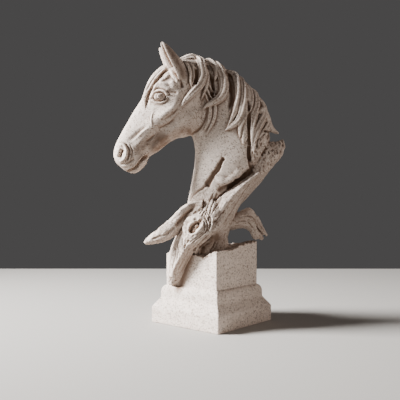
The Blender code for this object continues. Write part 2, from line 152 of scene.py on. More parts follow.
def tube_surface(grid: np.ndarray) -> Surface:
    """Skins a grid of rings, closed round each ring and capped by a fan at both ends.

    Args:
        grid: points (rings, points in a ring, 3).

    Returns:
        The closed surface.
    """
    rings, count = grid.shape[:2]
    index = np.arange(rings * count).reshape(rings, count)
    ahead = np.roll(index, -1, axis=1)
    quads = np.stack([index[:-1], ahead[:-1], ahead[1:], index[1:]], axis=-1).reshape(-1, 4)
    ends = rings * count + np.arange(2)
    first = np.stack([ahead[0], index[0], np.full(count, ends[0])], axis=-1)
    last = np.stack([index[-1], ahead[-1], np.full(count, ends[1])], axis=-1)
    centres = grid[[0, -1]].mean(axis=1)
    points = np.concatenate([grid.reshape(-1, 3), centres])
    return Surface(points, quads, np.concatenate([first, last]))


def spline(values: np.ndarray, shares: np.ndarray) -> np.ndarray:
    """Catmull-Rom curve through rows of values.

    Args:
        values: rows (n, m) that the curve passes through.
        shares: places along it, 0 at the first row and 1 at the last.

    Returns:
        One row of values for each share.
    """
    rows = np.asarray(values, float)
    last = len(rows) - 1
    place = np.clip(shares, 0.0, 1.0) * last
    i = np.minimum(place.astype(int), last - 1)
    t = (place - i)[:, None]
    a, b, c, d = (rows[np.clip(i + k, 0, last)] for k in (-1, 0, 1, 2))
    return 0.5 * (2 * b + (c - a) * t + (2 * a - 5 * b + 4 * c - d) * t**2
                  + (3 * b - a - 3 * c + d) * t**3)


def smooth_step(value: np.ndarray) -> np.ndarray:
    """Eases from 0 to 1 as value goes from 0 to 1, and stays there outside."""
    t = np.clip(value, 0.0, 1.0)
    return t * t * (3.0 - 2.0 * t)


def noise(points: np.ndarray, size: float, seed: int = 0) -> np.ndarray:
    """Smooth value noise: random numbers on a cubic lattice, eased between its corners.

    Args:
        points: places (n, 3).
        size: lattice cell, in the points' unit.
        seed: picks another pattern.

    Returns:
        A value from -1 to 1 for each place.
    """
    scaled = points / size
    cell = np.floor(scaled).astype(np.int64)
    t = scaled - cell
    t = t * t * (3.0 - 2.0 * t)
    total = np.zeros(len(points))
    for corner in product((0, 1), repeat=3):
        key = cell + np.array(corner)
        code = sum(key[:, axis] * factor for axis, factor in enumerate(CORNER_FACTORS))
        code = (code + seed * SEED_FACTOR) & KEPT_BITS
        code = ((code ^ (code >> 13)) * MIX_FACTOR) & KEPT_BITS
        value = ((code ^ (code >> 16)) & VALUE_BITS) / (VALUE_BITS // 2) - 1.0
        weight = np.prod(np.where(np.array(corner), t, 1.0 - t), axis=1)
        total += weight * value
    return total


@dataclass(frozen=True)
class Pattern:
    """Noise of one size: its lattice cell in mm, its seed and its height."""

    cell: float
    seed: int
    height: float = 1.0

    def at(self, points: np.ndarray) -> np.ndarray:
        """Value at each place, from minus the height to the height."""
        return self.height * noise(points, self.cell, self.seed)


def layered(patterns: tuple[Pattern, ...], points: np.ndarray) -> np.ndarray:
    """Sum of several patterns at each place."""
    return sum(pattern.at(points) for pattern in patterns)


WAVER = (Pattern(5.0, 52), Pattern(5.0, 53))    # how a stroke strays, along x and along z
RAGGED = Pattern(3.0, 51)                       # how its reach varies


def distance_along(path: np.ndarray) -> np.ndarray:
    """Distance from the first point of a path (n, m) to each of its points."""
    return np.concatenate([[0], np.cumsum(np.linalg.norm(np.diff(path, axis=0), axis=1))])


@dataclass(frozen=True)
class Bark:
    """Weathered wood: ridges that run along a form, with finer ones between them.

    Real driftwood loses its soft wood first, so hard grain stands up in long ridges.
    """

    depth: float = 1.2
    width: float = 4.2
    stretch: float = 9.0            # length of the grain, in times its width
    seed: int = 1
    sway: float = 0.5               # how far the ridges wander round the form, in radians
    sway_run: float = 27.0          # over what run they do, in mm
    fine_width: float = 0.45        # width of the finer ridges, as a share of the others'
    broad_share: float = 0.62       # of the depth
    fine_share: float = 0.38

    def height(self, around: np.ndarray, radius: np.ndarray, run: np.ndarray) -> np.ndarray:
        """Height of the grain over a form: ridged noise, stretched along the form.

        Args:
            around: angle round the form.
            radius: mean radius there, in mm.
            run: distance along the form, in mm.

        Returns:
            Height in mm, positive outwards, in the shape of around.
        """
        flow = around + self.sway * np.sin(run / self.sway_run + self.seed)
        place = np.stack([np.cos(flow) * radius, np.sin(flow) * radius,
                          run / self.stretch], axis=-1).reshape(-1, 3)
        broad = 1.0 - 2.0 * np.abs(noise(place, self.width, self.seed))
        fine = 1.0 - 2.0 * np.abs(noise(place, self.width * self.fine_width, self.seed + 7))
        height = self.depth * (self.broad_share * broad + self.fine_share * fine)
        return height.reshape(around.shape)


# offset, squareness, lean, wedge, fold and crest of a section that leaves them out
LEFT_OUT = (0.0, 2.0, 0.0, 0.0, 0.0, 0.0)


@dataclass
class Loft:
    """A closed form lofted through cross-sections.

    Each row of the table is one section: upper point (x, z), lower point (x, z), half-width
    across the profile, offset towards the viewer, squareness (2 is an ellipse), lean,
    wedge (how much narrower the section is at its upper point than at its lower one), and
    fold and crest (how far its face drops at the lower point, and where the drop begins).
    A row may leave out its last values, which then are those of LEFT_OUT.
    """

    table: list[tuple[float, ...]]
    bark: Bark | None = None
    steps: int = 12
    ring: int = 96

    def surface(self) -> Surface:
        """Skins the form: middle of each section, plus a superellipse round it.

        Returns:
            The closed surface in the profile frame.
        """
        rows = np.array([row + LEFT_OUT[len(row) - 5:] for row in self.table])
        cut = spline(rows, np.linspace(0.0, 1.0, (len(rows) - 1) * self.steps + 1))
        top, bottom = cut[:, 0:2], cut[:, 2:4]
        half, side, square, lean, wedge, fold, crest = (cut[:, k:k + 1] for k in range(4, 11))
        angle = np.linspace(0.0, 2.0 * math.pi, self.ring, endpoint=False)[None, :]
        c, s = np.cos(angle), np.sin(angle)
        c = np.sign(c) * np.abs(c) ** (2.0 / square)
        s = np.sign(s) * np.abs(s) ** (2.0 / square)
        middle, up = (top + bottom) / 2.0, (top - bottom) / 2.0
        flat = up[:, None, :] * c[:, :, None]
        across = half * s * (1.0 - wedge * c)
        drop = fold * np.clip((crest - c) / (1.0 + crest), 0.0, 1.0)
        if self.bark:
            run = distance_along(middle)
            length = np.sqrt((flat**2).sum(-1) + across**2) + 1e-6
            radius = np.broadcast_to(length.mean(axis=1, keepdims=True), length.shape)
            swell = 1.0 + self.bark.height(np.broadcast_to(angle, length.shape), radius,
                                           np.broadcast_to(run[:, None], length.shape)) / length
            flat, across = flat * swell[:, :, None], across * swell
        towards = side + lean * flat[:, :, 0] + across - drop
        return tube_surface(np.stack([middle[:, None, 0] + flat[:, :, 0], -towards,
                                      middle[:, None, 1] + flat[:, :, 1]], axis=-1))


def swept(path: np.ndarray, normals: np.ndarray, width: np.ndarray, height: np.ndarray,
          strands: int, ring: int = 28) -> np.ndarray:
    """Sweeps a flattened section along a path that lies on a surface.

    The section is an ellipse whose radius swells and sinks with the angle, which gives
    strands; they twist slowly along the path.

    Args:
        path: points (n, 3).
        normals: directions out of the surface (n, 3).
        width: half-width at each point.
        height: half-height at each point.
        strands: number of strands round the section, 0 for none.
        ring: points in a ring.

    Returns:
        Points (n, ring, 3).
    """
    ahead = np.gradient(path, axis=0)
    across = np.cross(ahead, normals)
    across /= np.linalg.norm(across, axis=1, keepdims=True) + 1e-9
    out = np.cross(across, ahead)
    out /= np.linalg.norm(out, axis=1, keepdims=True) + 1e-9
    angle = np.linspace(0.0, 2.0 * math.pi, ring, endpoint=False)[None, :]
    share = np.linspace(0.0, 1.0, len(path))[:, None]
    swell = 1.0
    if strands:
        swell = STRAND_MEAN + STRAND_DEPTH * np.cos(strands * angle + STRAND_TWIST * share)
    return (path[:, None, :]
            + across[:, None, :] * (width[:, None] * np.cos(angle) * swell)[:, :, None]
            + out[:, None, :] * (height[:, None] * np.sin(angle) * swell)[:, :, None])


@dataclass
class Lock:
    """A lock of hair that tapers to a point, laid over the body along a line in profile."""

    line: list[tuple[float, float]]
    width: float
    height: float
    strands: int = 6
    root: float = 0.55              # share of its full size at the root
    steps: int = 9                  # sections for each point of the line
    rounds: int = 10                # of smoothing, which lets it bridge the dips under it

    def surface(self, body: BVHTree, side: Side) -> Surface:
        """Drapes the line on the body and sweeps the lock along it.

        Its root is sunk by a tenth of its height, and it stands out by 0.35 of it from a
        fifth of its length on.  Width and height grow over the first quarter and fall to
        7 % over the last half.

        Args:
            body: the forms under the hair.
            side: the side it lies on.

        Returns:
            The closed surface.
        """
        sign = -1.0 if side is Side.NEAR else 1.0
        shares = np.linspace(0.0, 1.0, self.steps * len(self.line))
        path, normals = [], []
        for x, z in spline(np.array(self.line), shares):
            hit, normal, _, _ = body.ray_cast(Vector((x, sign * ASIDE, z)),
                                              Vector((0.0, -sign, 0.0)))
            if hit is None:
                hit, normal, _, _ = body.find_nearest(Vector((x, sign * 4.0, z)))
            path.append(hit)
            normals.append(normal)
        path, normals = np.array(path), np.array(normals)
        for _ in range(self.rounds):
            path[1:-1] = (path[:-2] + 2 * path[1:-1] + path[2:]) / 4
            normals[1:-1] = (normals[:-2] + normals[1:-1] + normals[2:]) / 3
        normals /= np.linalg.norm(normals, axis=1, keepdims=True)
        lift = self.height * (0.45 * smooth_step(shares / 0.2) - 0.1)
        path = path + normals * lift[:, None]
        taper = 1.0 - np.clip((shares - 0.5) / 0.5, 0.0, 1.0) ** 1.8
        size = (self.root + (1.0 - self.root) * smooth_step(shares / 0.25)) \
            * (0.07 + 0.93 * taper)
        return tube_surface(swept(path, normals, self.width * size, self.height * size,
                                  self.strands))


RIDGE_NORMAL = (0.3, 1.0, 0.2)      # a direction that no ridge runs along


@dataclass
class Ridge:
    """A free driftwood ridge through points (x, side, z), with a radius at each end."""

    points: list[tuple[float, float, float]]
    first: float
    last: float
    bark: Bark = Bark(0.7, 2.6, 8.0, 5)
    steps: int = 14                 # sections for each point
    ring: int = 40

    def surface(self) -> Surface:
        """Sweeps a circle with grain along the points, its radius going evenly to the last.

        Both ends are rounded off: the radius falls as one minus the 16th power of the
        distance from the middle.

        Returns:
            The closed surface.
        """
        shares = np.linspace(0.0, 1.0, self.steps * len(self.points))
        path = spline(np.array(self.points) * FLIP, shares)
        normals = np.tile(RIDGE_NORMAL, (len(path), 1))
        size = self.first + (self.last - self.first) * shares
        ends = np.sqrt(np.clip(1.0 - (2.0 * shares - 1.0) ** 16, 0.05, 1.0))
        grid = swept(path, normals, size * ends, size * ends, 0, self.ring)
        angle = np.linspace(0.0, 2.0 * math.pi, self.ring, endpoint=False)
        around, along = np.meshgrid(angle, distance_along(path))
        high = self.bark.height(around, np.broadcast_to(size[:, None], around.shape), along)
        offset = grid - path[:, None, :]
        scale = 1.0 + high / (np.linalg.norm(offset, axis=-1) + 0.5)
        return tube_surface(path[:, None, :] + offset * scale[:, :, None])


@dataclass
class Ear:
    """A horse's ear: a leaf rolled into a tube that opens forwards."""

    side: float = 12.0
    foot: float = 260.0             # height of its foot
    height: float = 35.6
    reach: float = 0.74             # how far its wall goes round to each side, in half turns
    facing: tuple[float, float] = (-0.95, -0.31)    # where it opens, seen from above
    steps: int = 60
    ring: int = 40                  # points on each face of the wall
    least: float = 0.1              # half-width of the hollow at its narrowest
    sections: list[tuple[float, ...]] = field(default_factory=lambda: [
        # share of height, centre x, half across, depth behind, wall
        (-0.22, -33.0, 6.6, 8.4, 5.0),
        (0.00, -35.3, 7.8, 10.2, 6.4),
        (0.20, -38.2, 8.0, 10.8, 5.8),
        (0.36, -41.2, 8.0, 10.8, 5.0),
        (0.52, -44.6, 7.4, 9.6, 4.2),
        (0.68, -48.0, 6.2, 7.8, 3.4),
        (0.82, -50.8, 4.8, 6.0, 2.6),
        (0.92, -53.0, 3.4, 4.2, 1.9),
        (0.98, -54.6, 2.0, 2.4, 1.3),
        (1.00, -55.2, 0.9, 1.1, 0.7),
    ])

    def surface(self, mirrored: bool) -> Surface:
        """Skins the ear: outside is an open arc, inside the same arc a wall's width in.

        Args:
            mirrored: puts it on the far side.

        Returns:
            The closed surface.
        """
        rows = spline(np.array(self.sections), np.linspace(0.0, 1.0, self.steps))
        arc = np.linspace(-self.reach, self.reach, self.ring) * math.pi
        front = np.array(self.facing)
        across = np.array([-self.facing[1], self.facing[0]])
        faces = []
        for turn, wall in ((arc, 0.0), (arc[::-1], rows[:, 4:5])):
            wide = (rows[:, 2:3] - wall * 0.75).clip(self.least)
            deep = (rows[:, 3:4] - wall).clip(self.least)
            back = -front * (deep * np.cos(turn))[:, :, None]
            faces.append(back + across * (wide * np.sin(turn))[:, :, None])
        flat = np.concatenate(faces, axis=1)
        up = np.broadcast_to(self.foot + self.height * rows[:, 0:1], flat.shape[:2])
        grid = np.stack([flat[:, :, 0] + rows[:, 1:2], flat[:, :, 1] - self.side, up], axis=-1)
        if mirrored:
            grid = grid[:, ::-1] * FLIP
        return tube_surface(grid)


def ellipsoid(centre: tuple[float, float, float], radii: tuple[float, float, float],
              mirrored: bool = False) -> Surface:
    """A closed ellipsoid, as rings from pole to pole.

    Args:
        centre: its centre (x, side, z).
        radii: its radii along x, y and z.
        mirrored: puts it on the far side.

    Returns:
        The closed surface.
    """
    polar = np.linspace(0.06, math.pi - 0.06, 28)[:, None]
    angle = np.linspace(0.0, 2.0 * math.pi, 40, endpoint=False)[None, :]
    side = centre[1] if mirrored else -centre[1]
    grid = np.stack([centre[0] + radii[0] * np.sin(polar) * np.cos(angle),
                     side + radii[1] * np.sin(polar) * np.sin(angle),
                     centre[2] - radii[2] * np.cos(polar) * np.ones_like(angle)], axis=-1)
    return tube_surface(grid)


def oval(x: float, z: float, half_x: float, half_z: float,
         tilt: float = 0.0) -> list[tuple[float, float]]:
    """Ten points round an oval in profile.

    Args:
        x: place of its middle.
        z: height of its middle.
        half_x: half of its first axis.
        half_z: half of its second axis.
        tilt: angle of the first axis, in degrees.

    Returns:
        The points (x, z).
    """
    turn = np.linspace(0.0, 2.0 * math.pi, 10, endpoint=False)
    c, s = math.cos(math.radians(tilt)), math.sin(math.radians(tilt))
    along, up = half_x * np.cos(turn), half_z * np.sin(turn)
    return [(x + c * a - s * b, z + s * a + c * b) for a, b in zip(along, up)]


@dataclass
class Stroke:
    """A carving stroke along a line in profile, on one or both sides of the figure."""

    line: list[tuple[float, float]]
    reach: float                    # distance from the line at which it ends, in mm
    depth: float
    cut: Cut = Cut.GROOVE
    side: Side = Side.NEAR
    least: float = 2.0              # skin nearer the profile plane than this isn't cut
    closed: bool = False
    ends: float = 0.12              # share of its length over which each end fades
    ragged: float = 0.0             # how much its reach varies, as a share

    def section(self, share: np.ndarray) -> np.ndarray:
        """Cross-section of the stroke, as a share of its depth, outwards positive.

        A ridge is the square of one minus the squared distance, a trough eases down to its
        middle, a slot does so more steeply, and a groove is sharp with a raised edge.

        Args:
            share: distance from the line, as a share of the reach.

        Returns:
            The section at each distance.
        """
        if self.cut is Cut.RIDGE:
            return np.clip(1.0 - share**2, 0.0, 1.0) ** 2
        if self.cut is Cut.TROUGH:
            return -smooth_step(1.0 - share)
        if self.cut is Cut.SLOT:
            return -smooth_step(SLOT_STEEPNESS * (1.0 - share))
        burr = np.clip(1.0 - np.abs(share - BURR_PLACE) / BURR_WIDTH, 0.0, 1.0)
        return -np.clip(1.0 - share, 0.0, 1.0) ** GROOVE_POWER + BURR_HEIGHT * burr

    def depth_at(self, points: np.ndarray, normals: np.ndarray,
                 waver: float = 0.0) -> np.ndarray:
        """How far the stroke moves each point along its normal, outwards positive.

        The distance in profile to the smoothed line gives the section; the ends fade.

        Args:
            points: places (n, 3) in the profile frame.
            normals: directions out of the skin (n, 3).
            waver: how many mm the line strays from its course.

        Returns:
            Movement in mm for each point.
        """
        rows = np.array(self.line + ([self.line[0]] if self.closed else []), float)
        line = spline(rows, np.linspace(0.0, 1.0, LINE_STEPS * len(rows)))
        margin = STROKE_MARGIN * self.reach
        low, high = line.min(axis=0) - margin, line.max(axis=0) + margin
        x, z = points[:, 0], points[:, 2]
        facing = np.abs(points[:, 1]) if self.side is Side.BOTH else -points[:, 1]
        turned = np.abs(normals[:, 1]) > LEAST_FACING
        chosen = np.flatnonzero((x > low[0]) & (x < high[0]) & (z > low[1]) & (z < high[1])
                                & (facing > self.least) & turned)
        moved = np.zeros(len(points))
        if not len(chosen):
            return moved
        near = points[chosen]
        spot = near[:, [0, 2]]
        if waver:
            spot = spot + waver * np.stack([pattern.at(near) for pattern in WAVER], axis=1)
        best = np.full(len(chosen), np.inf)
        place = np.zeros(len(chosen))
        for k, (start, step) in enumerate(zip(line, np.diff(line, axis=0))):
            t = np.clip(((spot - start) @ step) / (step @ step + 1e-12), 0.0, 1.0)
            away = np.linalg.norm(spot - start - t[:, None] * step, axis=1)
            closer = away < best
            best[closer] = away[closer]
            place[closer] = (k + t[closer]) / (len(line) - 1)
        share = best / (self.reach * (1.0 + self.ragged * RAGGED.at(near)))
        fade = 1.0
        if not self.closed and self.ends:
            fade = smooth_step(np.minimum(place, 1.0 - place) / self.ends)
        moved[chosen] = self.depth * self.section(share) * fade
        return moved


def on_both_sides(strokes: list[Stroke]) -> list[Stroke]:
    """The strokes, each of them cut on both sides of the figure."""
    return [replace(stroke, side=Side.BOTH) for stroke in strokes]


def read_all(items: bpy.types.bpy_prop_collection, name: str, kind: type,
             width: int = 1) -> np.ndarray:
    """Reads one property of all items of a mesh at once.

    Args:
        items: vertices, loops or polygons.
        name: name of the property.
        kind: type of its numbers.
        width: how many numbers it has.

    Returns:
        The numbers in one row.
    """
    values = np.empty(len(items) * width, kind)
    items.foreach_get(name, values)
    return values


SMOOTHING_PULLS = (0.55, -0.52)     # towards the neighbours, and part of the way back


class Skin:
    """The melted skin of the figure as arrays, which strokes and grain then move."""

    def __init__(self, surface: Surface, cell: float) -> None:
        """Melts a surface of overlapping forms into one skin on a grid of cells.

        Args:
            surface: the forms.
            cell: size of a cell, in mm.
        """
        made = bpy.data.objects.new("clay", surface.mesh("clay"))
        bpy.context.scene.collection.objects.link(made)
        melt = made.modifiers.new("Melt", "REMESH")
        melt.mode = "VOXEL"
        melt.voxel_size = cell
        mesh = made.evaluated_get(bpy.context.evaluated_depsgraph_get()).to_mesh()
        self.points = read_all(mesh.vertices, "co", np.float64, 3).reshape(-1, 3)
        loops = read_all(mesh.loops, "vertex_index", np.int64)
        totals = read_all(mesh.polygons, "loop_total", np.int64)
        starts = read_all(mesh.polygons, "loop_start", np.int64)
        quads = starts[totals == 4][:, None] + np.arange(4)
        triangles = starts[totals == 3][:, None] + np.arange(3)
        self.quads, self.triangles = loops[quads], loops[triangles].reshape(-1, 3)
        # share of wash at each point; the painted shade is laid in it too
        self.wash = np.zeros(len(self.points))
        bpy.data.objects.remove(made)
        self._find_neighbours()

    def _find_neighbours(self) -> None:
        """Lists the edges, once each way, and how many meet at each point."""
        sides = [self.quads[:, [k, (k + 1) % 4]] for k in range(4)]
        sides += [self.triangles[:, [k, (k + 1) % 3]] for k in range(3)]
        pairs = np.unique(np.sort(np.concatenate(sides), axis=1), axis=0)
        self.start = np.concatenate([pairs[:, 0], pairs[:, 1]])
        self.end = np.concatenate([pairs[:, 1], pairs[:, 0]])
        self.count = np.bincount(self.start, minlength=len(self.points)).clip(1)

    def mean_of_neighbours(self, values: np.ndarray) -> np.ndarray:
        """Mean over each point's neighbours.

        Args:
            values: a number or a row of numbers for each point.

        Returns:
            The means, in the shape of the values.
        """
        if values.ndim == 1:
            return np.bincount(self.start, values[self.end], len(self.points)) / self.count
        return np.stack([self.mean_of_neighbours(column) for column in values.T], axis=1)

    def smooth(self, rounds: int, weight: np.ndarray | float = 1.0) -> None:
        """Relaxes the points towards their neighbours, then part of the way back.

        Going back keeps the size of the forms while the steps of the grid go.

        Args:
            rounds: how many times.
            weight: share of the move at each point.
        """
        scale = weight[:, None] if isinstance(weight, np.ndarray) else weight
        for _ in range(rounds):
            for pull in SMOOTHING_PULLS:
                move = self.mean_of_neighbours(self.points) - self.points
                self.points = self.points + move * (pull * scale)

    def normals(self) -> np.ndarray:
        """Directions out of the skin: the sum of the normals of the faces at a point.

        Returns:
            Unit vectors (n, 3).
        """
        total = np.zeros_like(self.points)
        for faces in (self.quads, self.triangles):
            if not len(faces):
                continue
            p = self.points[faces]
            normal = np.cross(p[:, 2] - p[:, 0], p[:, -1] - p[:, 1])
            for k in range(faces.shape[1]):
                for axis in range(3):
                    total[:, axis] += np.bincount(faces[:, k], normal[:, axis], len(total))
        return total / (np.linalg.norm(total, axis=1, keepdims=True) + 1e-12)

    def push(self, amount: np.ndarray, normals: np.ndarray | None = None) -> None:
        """Moves each point along its normal, or along the directions given, by so many mm."""
        out = self.normals() if normals is None else normals
        self.points = self.points + out * amount[:, None]

    def surface(self) -> Surface:
        """The skin as a surface."""
        return Surface(self.points, self.quads, self.triangles)


HEAD = Loft([
    (-102.5, 170, -92, 161, 6.5),
    (-105, 178, -82, 159.5, 11.5, 0, 2.3),
    (-103.5, 187.5, -72.5, 167.5, 13, 0, 2.3, 0, 0.08),
    (-98.5, 198.5, -67, 177, 12, 0, 2.1, 0, 0.22),
    (-92, 210.5, -58, 182.5, 12.2, 0, 2, 0, 0.32),
    (-84, 224.5, -48, 190.5, 14.2, 0, 2, 0, 0.34),
    (-76, 237, -38, 196.5, 16.8, 0, 2, 0, 0.28),
    (-70, 249, -28, 198.5, 19, 0, 2.1, 0, 0.18),
    (-64.5, 259, -16, 204, 20.2),
    (-57, 267.5, -8, 216, 19.4),
    (-47, 274.5, -4, 231, 17.6),
    (-36, 280, 0, 247, 15.6),
    (-24, 282, 6, 262, 13),
])

NECK = Loft([
    (-24, 279.5, -34, 245, 11),
    (-6, 279, -30, 217, 13.6),
    (12, 271, -21.5, 199.5, 15, 0, 2.2),
    (28.5, 259.5, -18.5, 187, 16.5, 0, 2.3),
    (43.5, 245.5, -18.3, 175, 18.2, 0, 2.3),
    (53.5, 229, -19.8, 162, 19.8, 0, 2.3),
    (60, 211.5, -22, 149, 21.3, 0, 2.3),
    (62, 196, -24.5, 137, 22.3, 0, 2.2),
    (57, 177, -26.5, 125, 22.3),
    (32, 158, -26, 113, 21),
    (18, 140, -20, 103, 17),
])

TRUNK = Loft([
    (-22, 66, 22, 70, 24, 0, 2.8),
    (-20, 81, 17.2, 84, 22, 0, 2.8),
    (-19, 94, 16.2, 96, 20, 0, 2.7),
    (-16, 107, 23.4, 110, 19.5, 0, 2.5),
    (-9, 119, 27.6, 121, 19.5, 0, 2.4),
    (2, 132, 35.6, 135, 19.5, 0, 2.3),
    (14, 143, 46.5, 148, 19, 0, 2.2),
    (26, 154, 58.5, 159.5, 17.5, 0, 2.2),
    (38, 167, 66, 168, 15),
    (48, 178, 68, 176, 10),
], Bark(0.9, 3.6, 9, 3), ring=150)

# Near flank: two planes that meet in an arris, one facing up to the left, one to the right.
FLANK = Loft([
    (46, 166, 58, 160, 10, 6, 1.5),
    (41, 161.6, 53, 154.6, 14, 6, 1.4),
    (30.5, 154.6, 42.4, 145.6, 19, 4, 1.35),
    (20, 148.6, 36.8, 137.6, 21.5, 4, 1.35),
    (10, 142, 30.5, 127, 22.5, 5, 1.4),
    (0, 133, 26.2, 118.4, 22.5, 6, 1.5, -0.15),
    (-7.5, 119, 22.9, 108, 22, 7, 1.7, -0.45),
    (-14.5, 103, 16.4, 91, 20, 8, 1.9, -0.65),
    (-20, 86, 14.2, 79, 18, 9, 2, -0.75),
    (-20, 74, 14, 70, 16, 9, 2, -0.75),
], Bark(0.6, 3, 9, 13), ring=150)

BRANCH = Loft([
    (17, 117.5, 15, 98, 9.6, 2),
    (26, 117.3, 22.5, 98.6, 9, 1),
    (34, 119, 31, 100.4, 8.6, 0, 2.2),
    (41, 121.2, 37, 99.4, 8.2, -1, 2.4),
    (46.6, 116.6, 41.5, 95, 7.8, -2, 2.4),
    (51, 106, 44.2, 89.4, 7.2, -3, 2.4),
    (55, 99.2, 47.8, 87.8, 6.4, -4, 2.4),
    (57.4, 95.6, 52, 89.4, 4.6, -4, 2.2),
], Bark(0.5, 2.6, 9, 11), ring=120)

FACE_LEAN = 0.858                   # slope of the plinth's face across the profile frame
SMALL_HEAD = Loft([
    (-4, 133.5, 16, 122, 10, 14, 2, 0.2),
    (-14, 125.5, 13, 110, 12.8, 20, 2, 0.4),
    (-27.6, 115.5, 4.6, 100, 13.3, 26, 2.4, 0.4),
    (-32.4, 104.4, -5, 91, 12.8, 28.5, 2.4, 0.5, 0, 2, -0.3),
    (-36.6, 95.5, -12, 85, 12.2, 29, 2.4, 0.7, 0, 6, -0.25),
    (-40.4, 88, -18, 79.5, 11.8, 26.8, 2.4, FACE_LEAN, 0, 11, -0.13),
    (-43.8, 79, -21.8, 71.2, 11.4, 23.8, 2.4, FACE_LEAN, 0, 13.5, -0.04),
    (-46.4, 68.5, -25.6, 62.5, 11, 20.5, 2.4, FACE_LEAN, 0, 14, 0.05),
    (-47.8, 59, -29.3, 53.5, 10.4, 17.5, 2.3, FACE_LEAN, 0, 13, 0.2),
    (-48, 50, -33, 46, 9.2, 15, 2.2, FACE_LEAN, 0, 10, 0.3),
    (-47.2, 44.5, -37.6, 42.2, 7, 13, 2.1, FACE_LEAN, 0, 6, 0.3),
    (-45.2, 41.2, -41, 40.6, 2.6, 11.8, 2, FACE_LEAN),
], Bark(0.4, 2.4, 10, 17), ring=120)

SMALL_EAR = Loft([
    (-10, 131.2, -12, 112, 8, 20),
    (-25.7, 126.2, -24, 106, 7.6, 23),
    (-34.3, 120.2, -32, 100, 7.4, 25.5),
    (-42.2, 111.8, -39.5, 93, 7, 27.5),
    (-51.6, 103.8, -48, 88.7, 6.3, 29.5),
    (-62.3, 96.8, -58, 86.2, 5.2, 28),
    (-69.4, 90.4, -65.5, 85, 3.8, 26),
    (-71.6, 87.3, -69.5, 85.3, 1.9, 25),
], Bark(0.3, 2.6, 10, 23), ring=110)

MANE = [
    Lock([(-37, 279), (-28.2, 282), (-20.4, 281.6), (-15, 276.5), (-12, 268.8), (-12.4, 259.6),
          (-16.6, 251.2), (-22.9, 243.6), (-28.9, 237), (-33.4, 231.8), (-36, 227)], 5.2, 5, 6),
    Lock([(-13.1, 276.5), (-8.5, 267.5), (-6.8, 259.2), (-7.9, 249.7), (-11.4, 242.3),
          (-14.8, 234.8)], 2.6, 3.2, 3),
    Lock([(-33, 276.3), (-28.6, 272.3), (-25.8, 264), (-26.1, 254.6), (-24.6, 247.3)], 1.7, 2.8,
         0),
    Lock([(-30, 276.4), (-23.7, 271.4), (-21.6, 264.1), (-22.1, 256.8), (-24.2, 250.5)], 2.6, 1.8,
         3),
    Lock([(-11.6, 279), (-3.6, 277.5), (1.5, 273.4), (3.6, 268.2), (3.2, 261.8), (0.6, 254.4)],
         3.6, 4.2, 4),
    Lock([(-7.2, 256), (-1.6, 246.7), (3.1, 238.3)], 1.1, 1.8, 0),
    Lock([(-9.5, 251), (-3.9, 241.4), (-1, 236.2)], 1.1, 1.8, 0),
    Lock([(-11.4, 246.4), (-7.4, 238.2), (-5.1, 233)], 1, 1.6, 0),
    Lock([(-7.2, 277.6), (0.4, 275.3), (7, 269), (11.4, 259.5), (12.4, 249), (9.6, 240.6),
          (3.4, 235.3), (-5.9, 231), (-12.6, 225.6)], 6, 5.2, 7),
    Lock([(14.5, 271.5), (22.5, 264.5), (26.5, 253.5), (27.2, 240), (24.4, 226.5), (20.4, 215.5),
          (14.5, 204.5)], 3.6, 4.8, 4),
    Lock([(20.5, 267.5), (29.3, 257.4), (33, 241.6), (31.9, 227.9), (28.3, 215.3), (20.9, 207.9),
          (12.6, 203.4)], 5, 5, 7),
    Lock([(25.1, 262.6), (36.7, 249), (39.8, 236.3), (37.2, 223.7), (31.4, 213.2), (28.8, 204.8),
          (28.8, 195.3)], 4.8, 4.4, 6),
    Lock([(37, 229.8), (36, 217.3), (35, 206.7), (33.5, 196.2), (32.4, 187.8)], 4.8, 2.6, 4),
    Lock([(33.5, 255.2), (43, 244.8), (45.8, 231.1), (42.8, 219.5), (41.5, 206.9), (40.5, 194.2),
          (40.5, 185.9)], 4.8, 4.4, 6),
    Lock([(40, 248.2), (49.5, 234.5), (53.7, 224), (51.5, 215.4), (46.2, 203.8), (43.1, 191.2),
          (43.2, 177.5)], 4.8, 4.6, 6),
    Lock([(47.3, 238.8), (56.3, 223), (58, 211.5), (53.6, 202), (49.2, 193.4), (46.8, 184)], 4.8,
         4, 6),
]
# creases where the neck bends behind the cheek
FOLDS = [
    Lock([(-3.5, 233), (-3.5, 221), (-6, 211), (-11, 203)], 1.9, 1.6, 0),
    Lock([(2, 235), (2, 221), (-1.5, 210.5), (-7.5, 200)], 1.9, 1.6, 0),
]
FORELOCK = [
    Lock([(-45, 274.5), (-53.5, 267.5), (-61, 259.5), (-67, 251), (-71, 242.5), (-73, 235),
          (-72.5, 226.5)], 2.9, 2.2, 4),
    Lock([(-43, 279), (-54, 273), (-62, 265.5), (-67.6, 256.5), (-71.6, 248), (-74.5, 239)], 2.9,
         2.2, 4),
    Lock([(-40, 282), (-52, 276), (-61, 268.6), (-66.6, 260), (-70.6, 251)], 2.6, 2, 4),
]

# weathered wood behind the mane, and its top
SHOULDER = [
    Loft([
        (40.2, 157, 46, 148, 13, 2),
        (41, 164, 54, 156.2, 13.5, 2),
        (41.2, 173.3, 64.6, 167.2, 13, 2, 2.3),
        (44.5, 184, 73.6, 176.6, 11.5, 2, 2.4),
        (50.8, 191, 77.4, 184.4, 8.5, 1, 2.4),
        (58.5, 193.2, 78.4, 190, 5.5, 0, 2.4),
        (69.5, 193.4, 76.2, 196.4, 2.2, 0, 2.4),
    ], Bark(0.9, 3, 6, 29), ring=110),
    Loft([
        (43.5, 176, 58, 178, 12.5, 2),
        (47.4, 188.2, 60.6, 190.4, 10.5, 2),
        (51.4, 196.7, 60.8, 196.7, 7, 2),
        (54.6, 203.1, 60.6, 201.6, 4, 2),
    ], Bark(0.7, 2.6, 6, 31), ring=90),
]

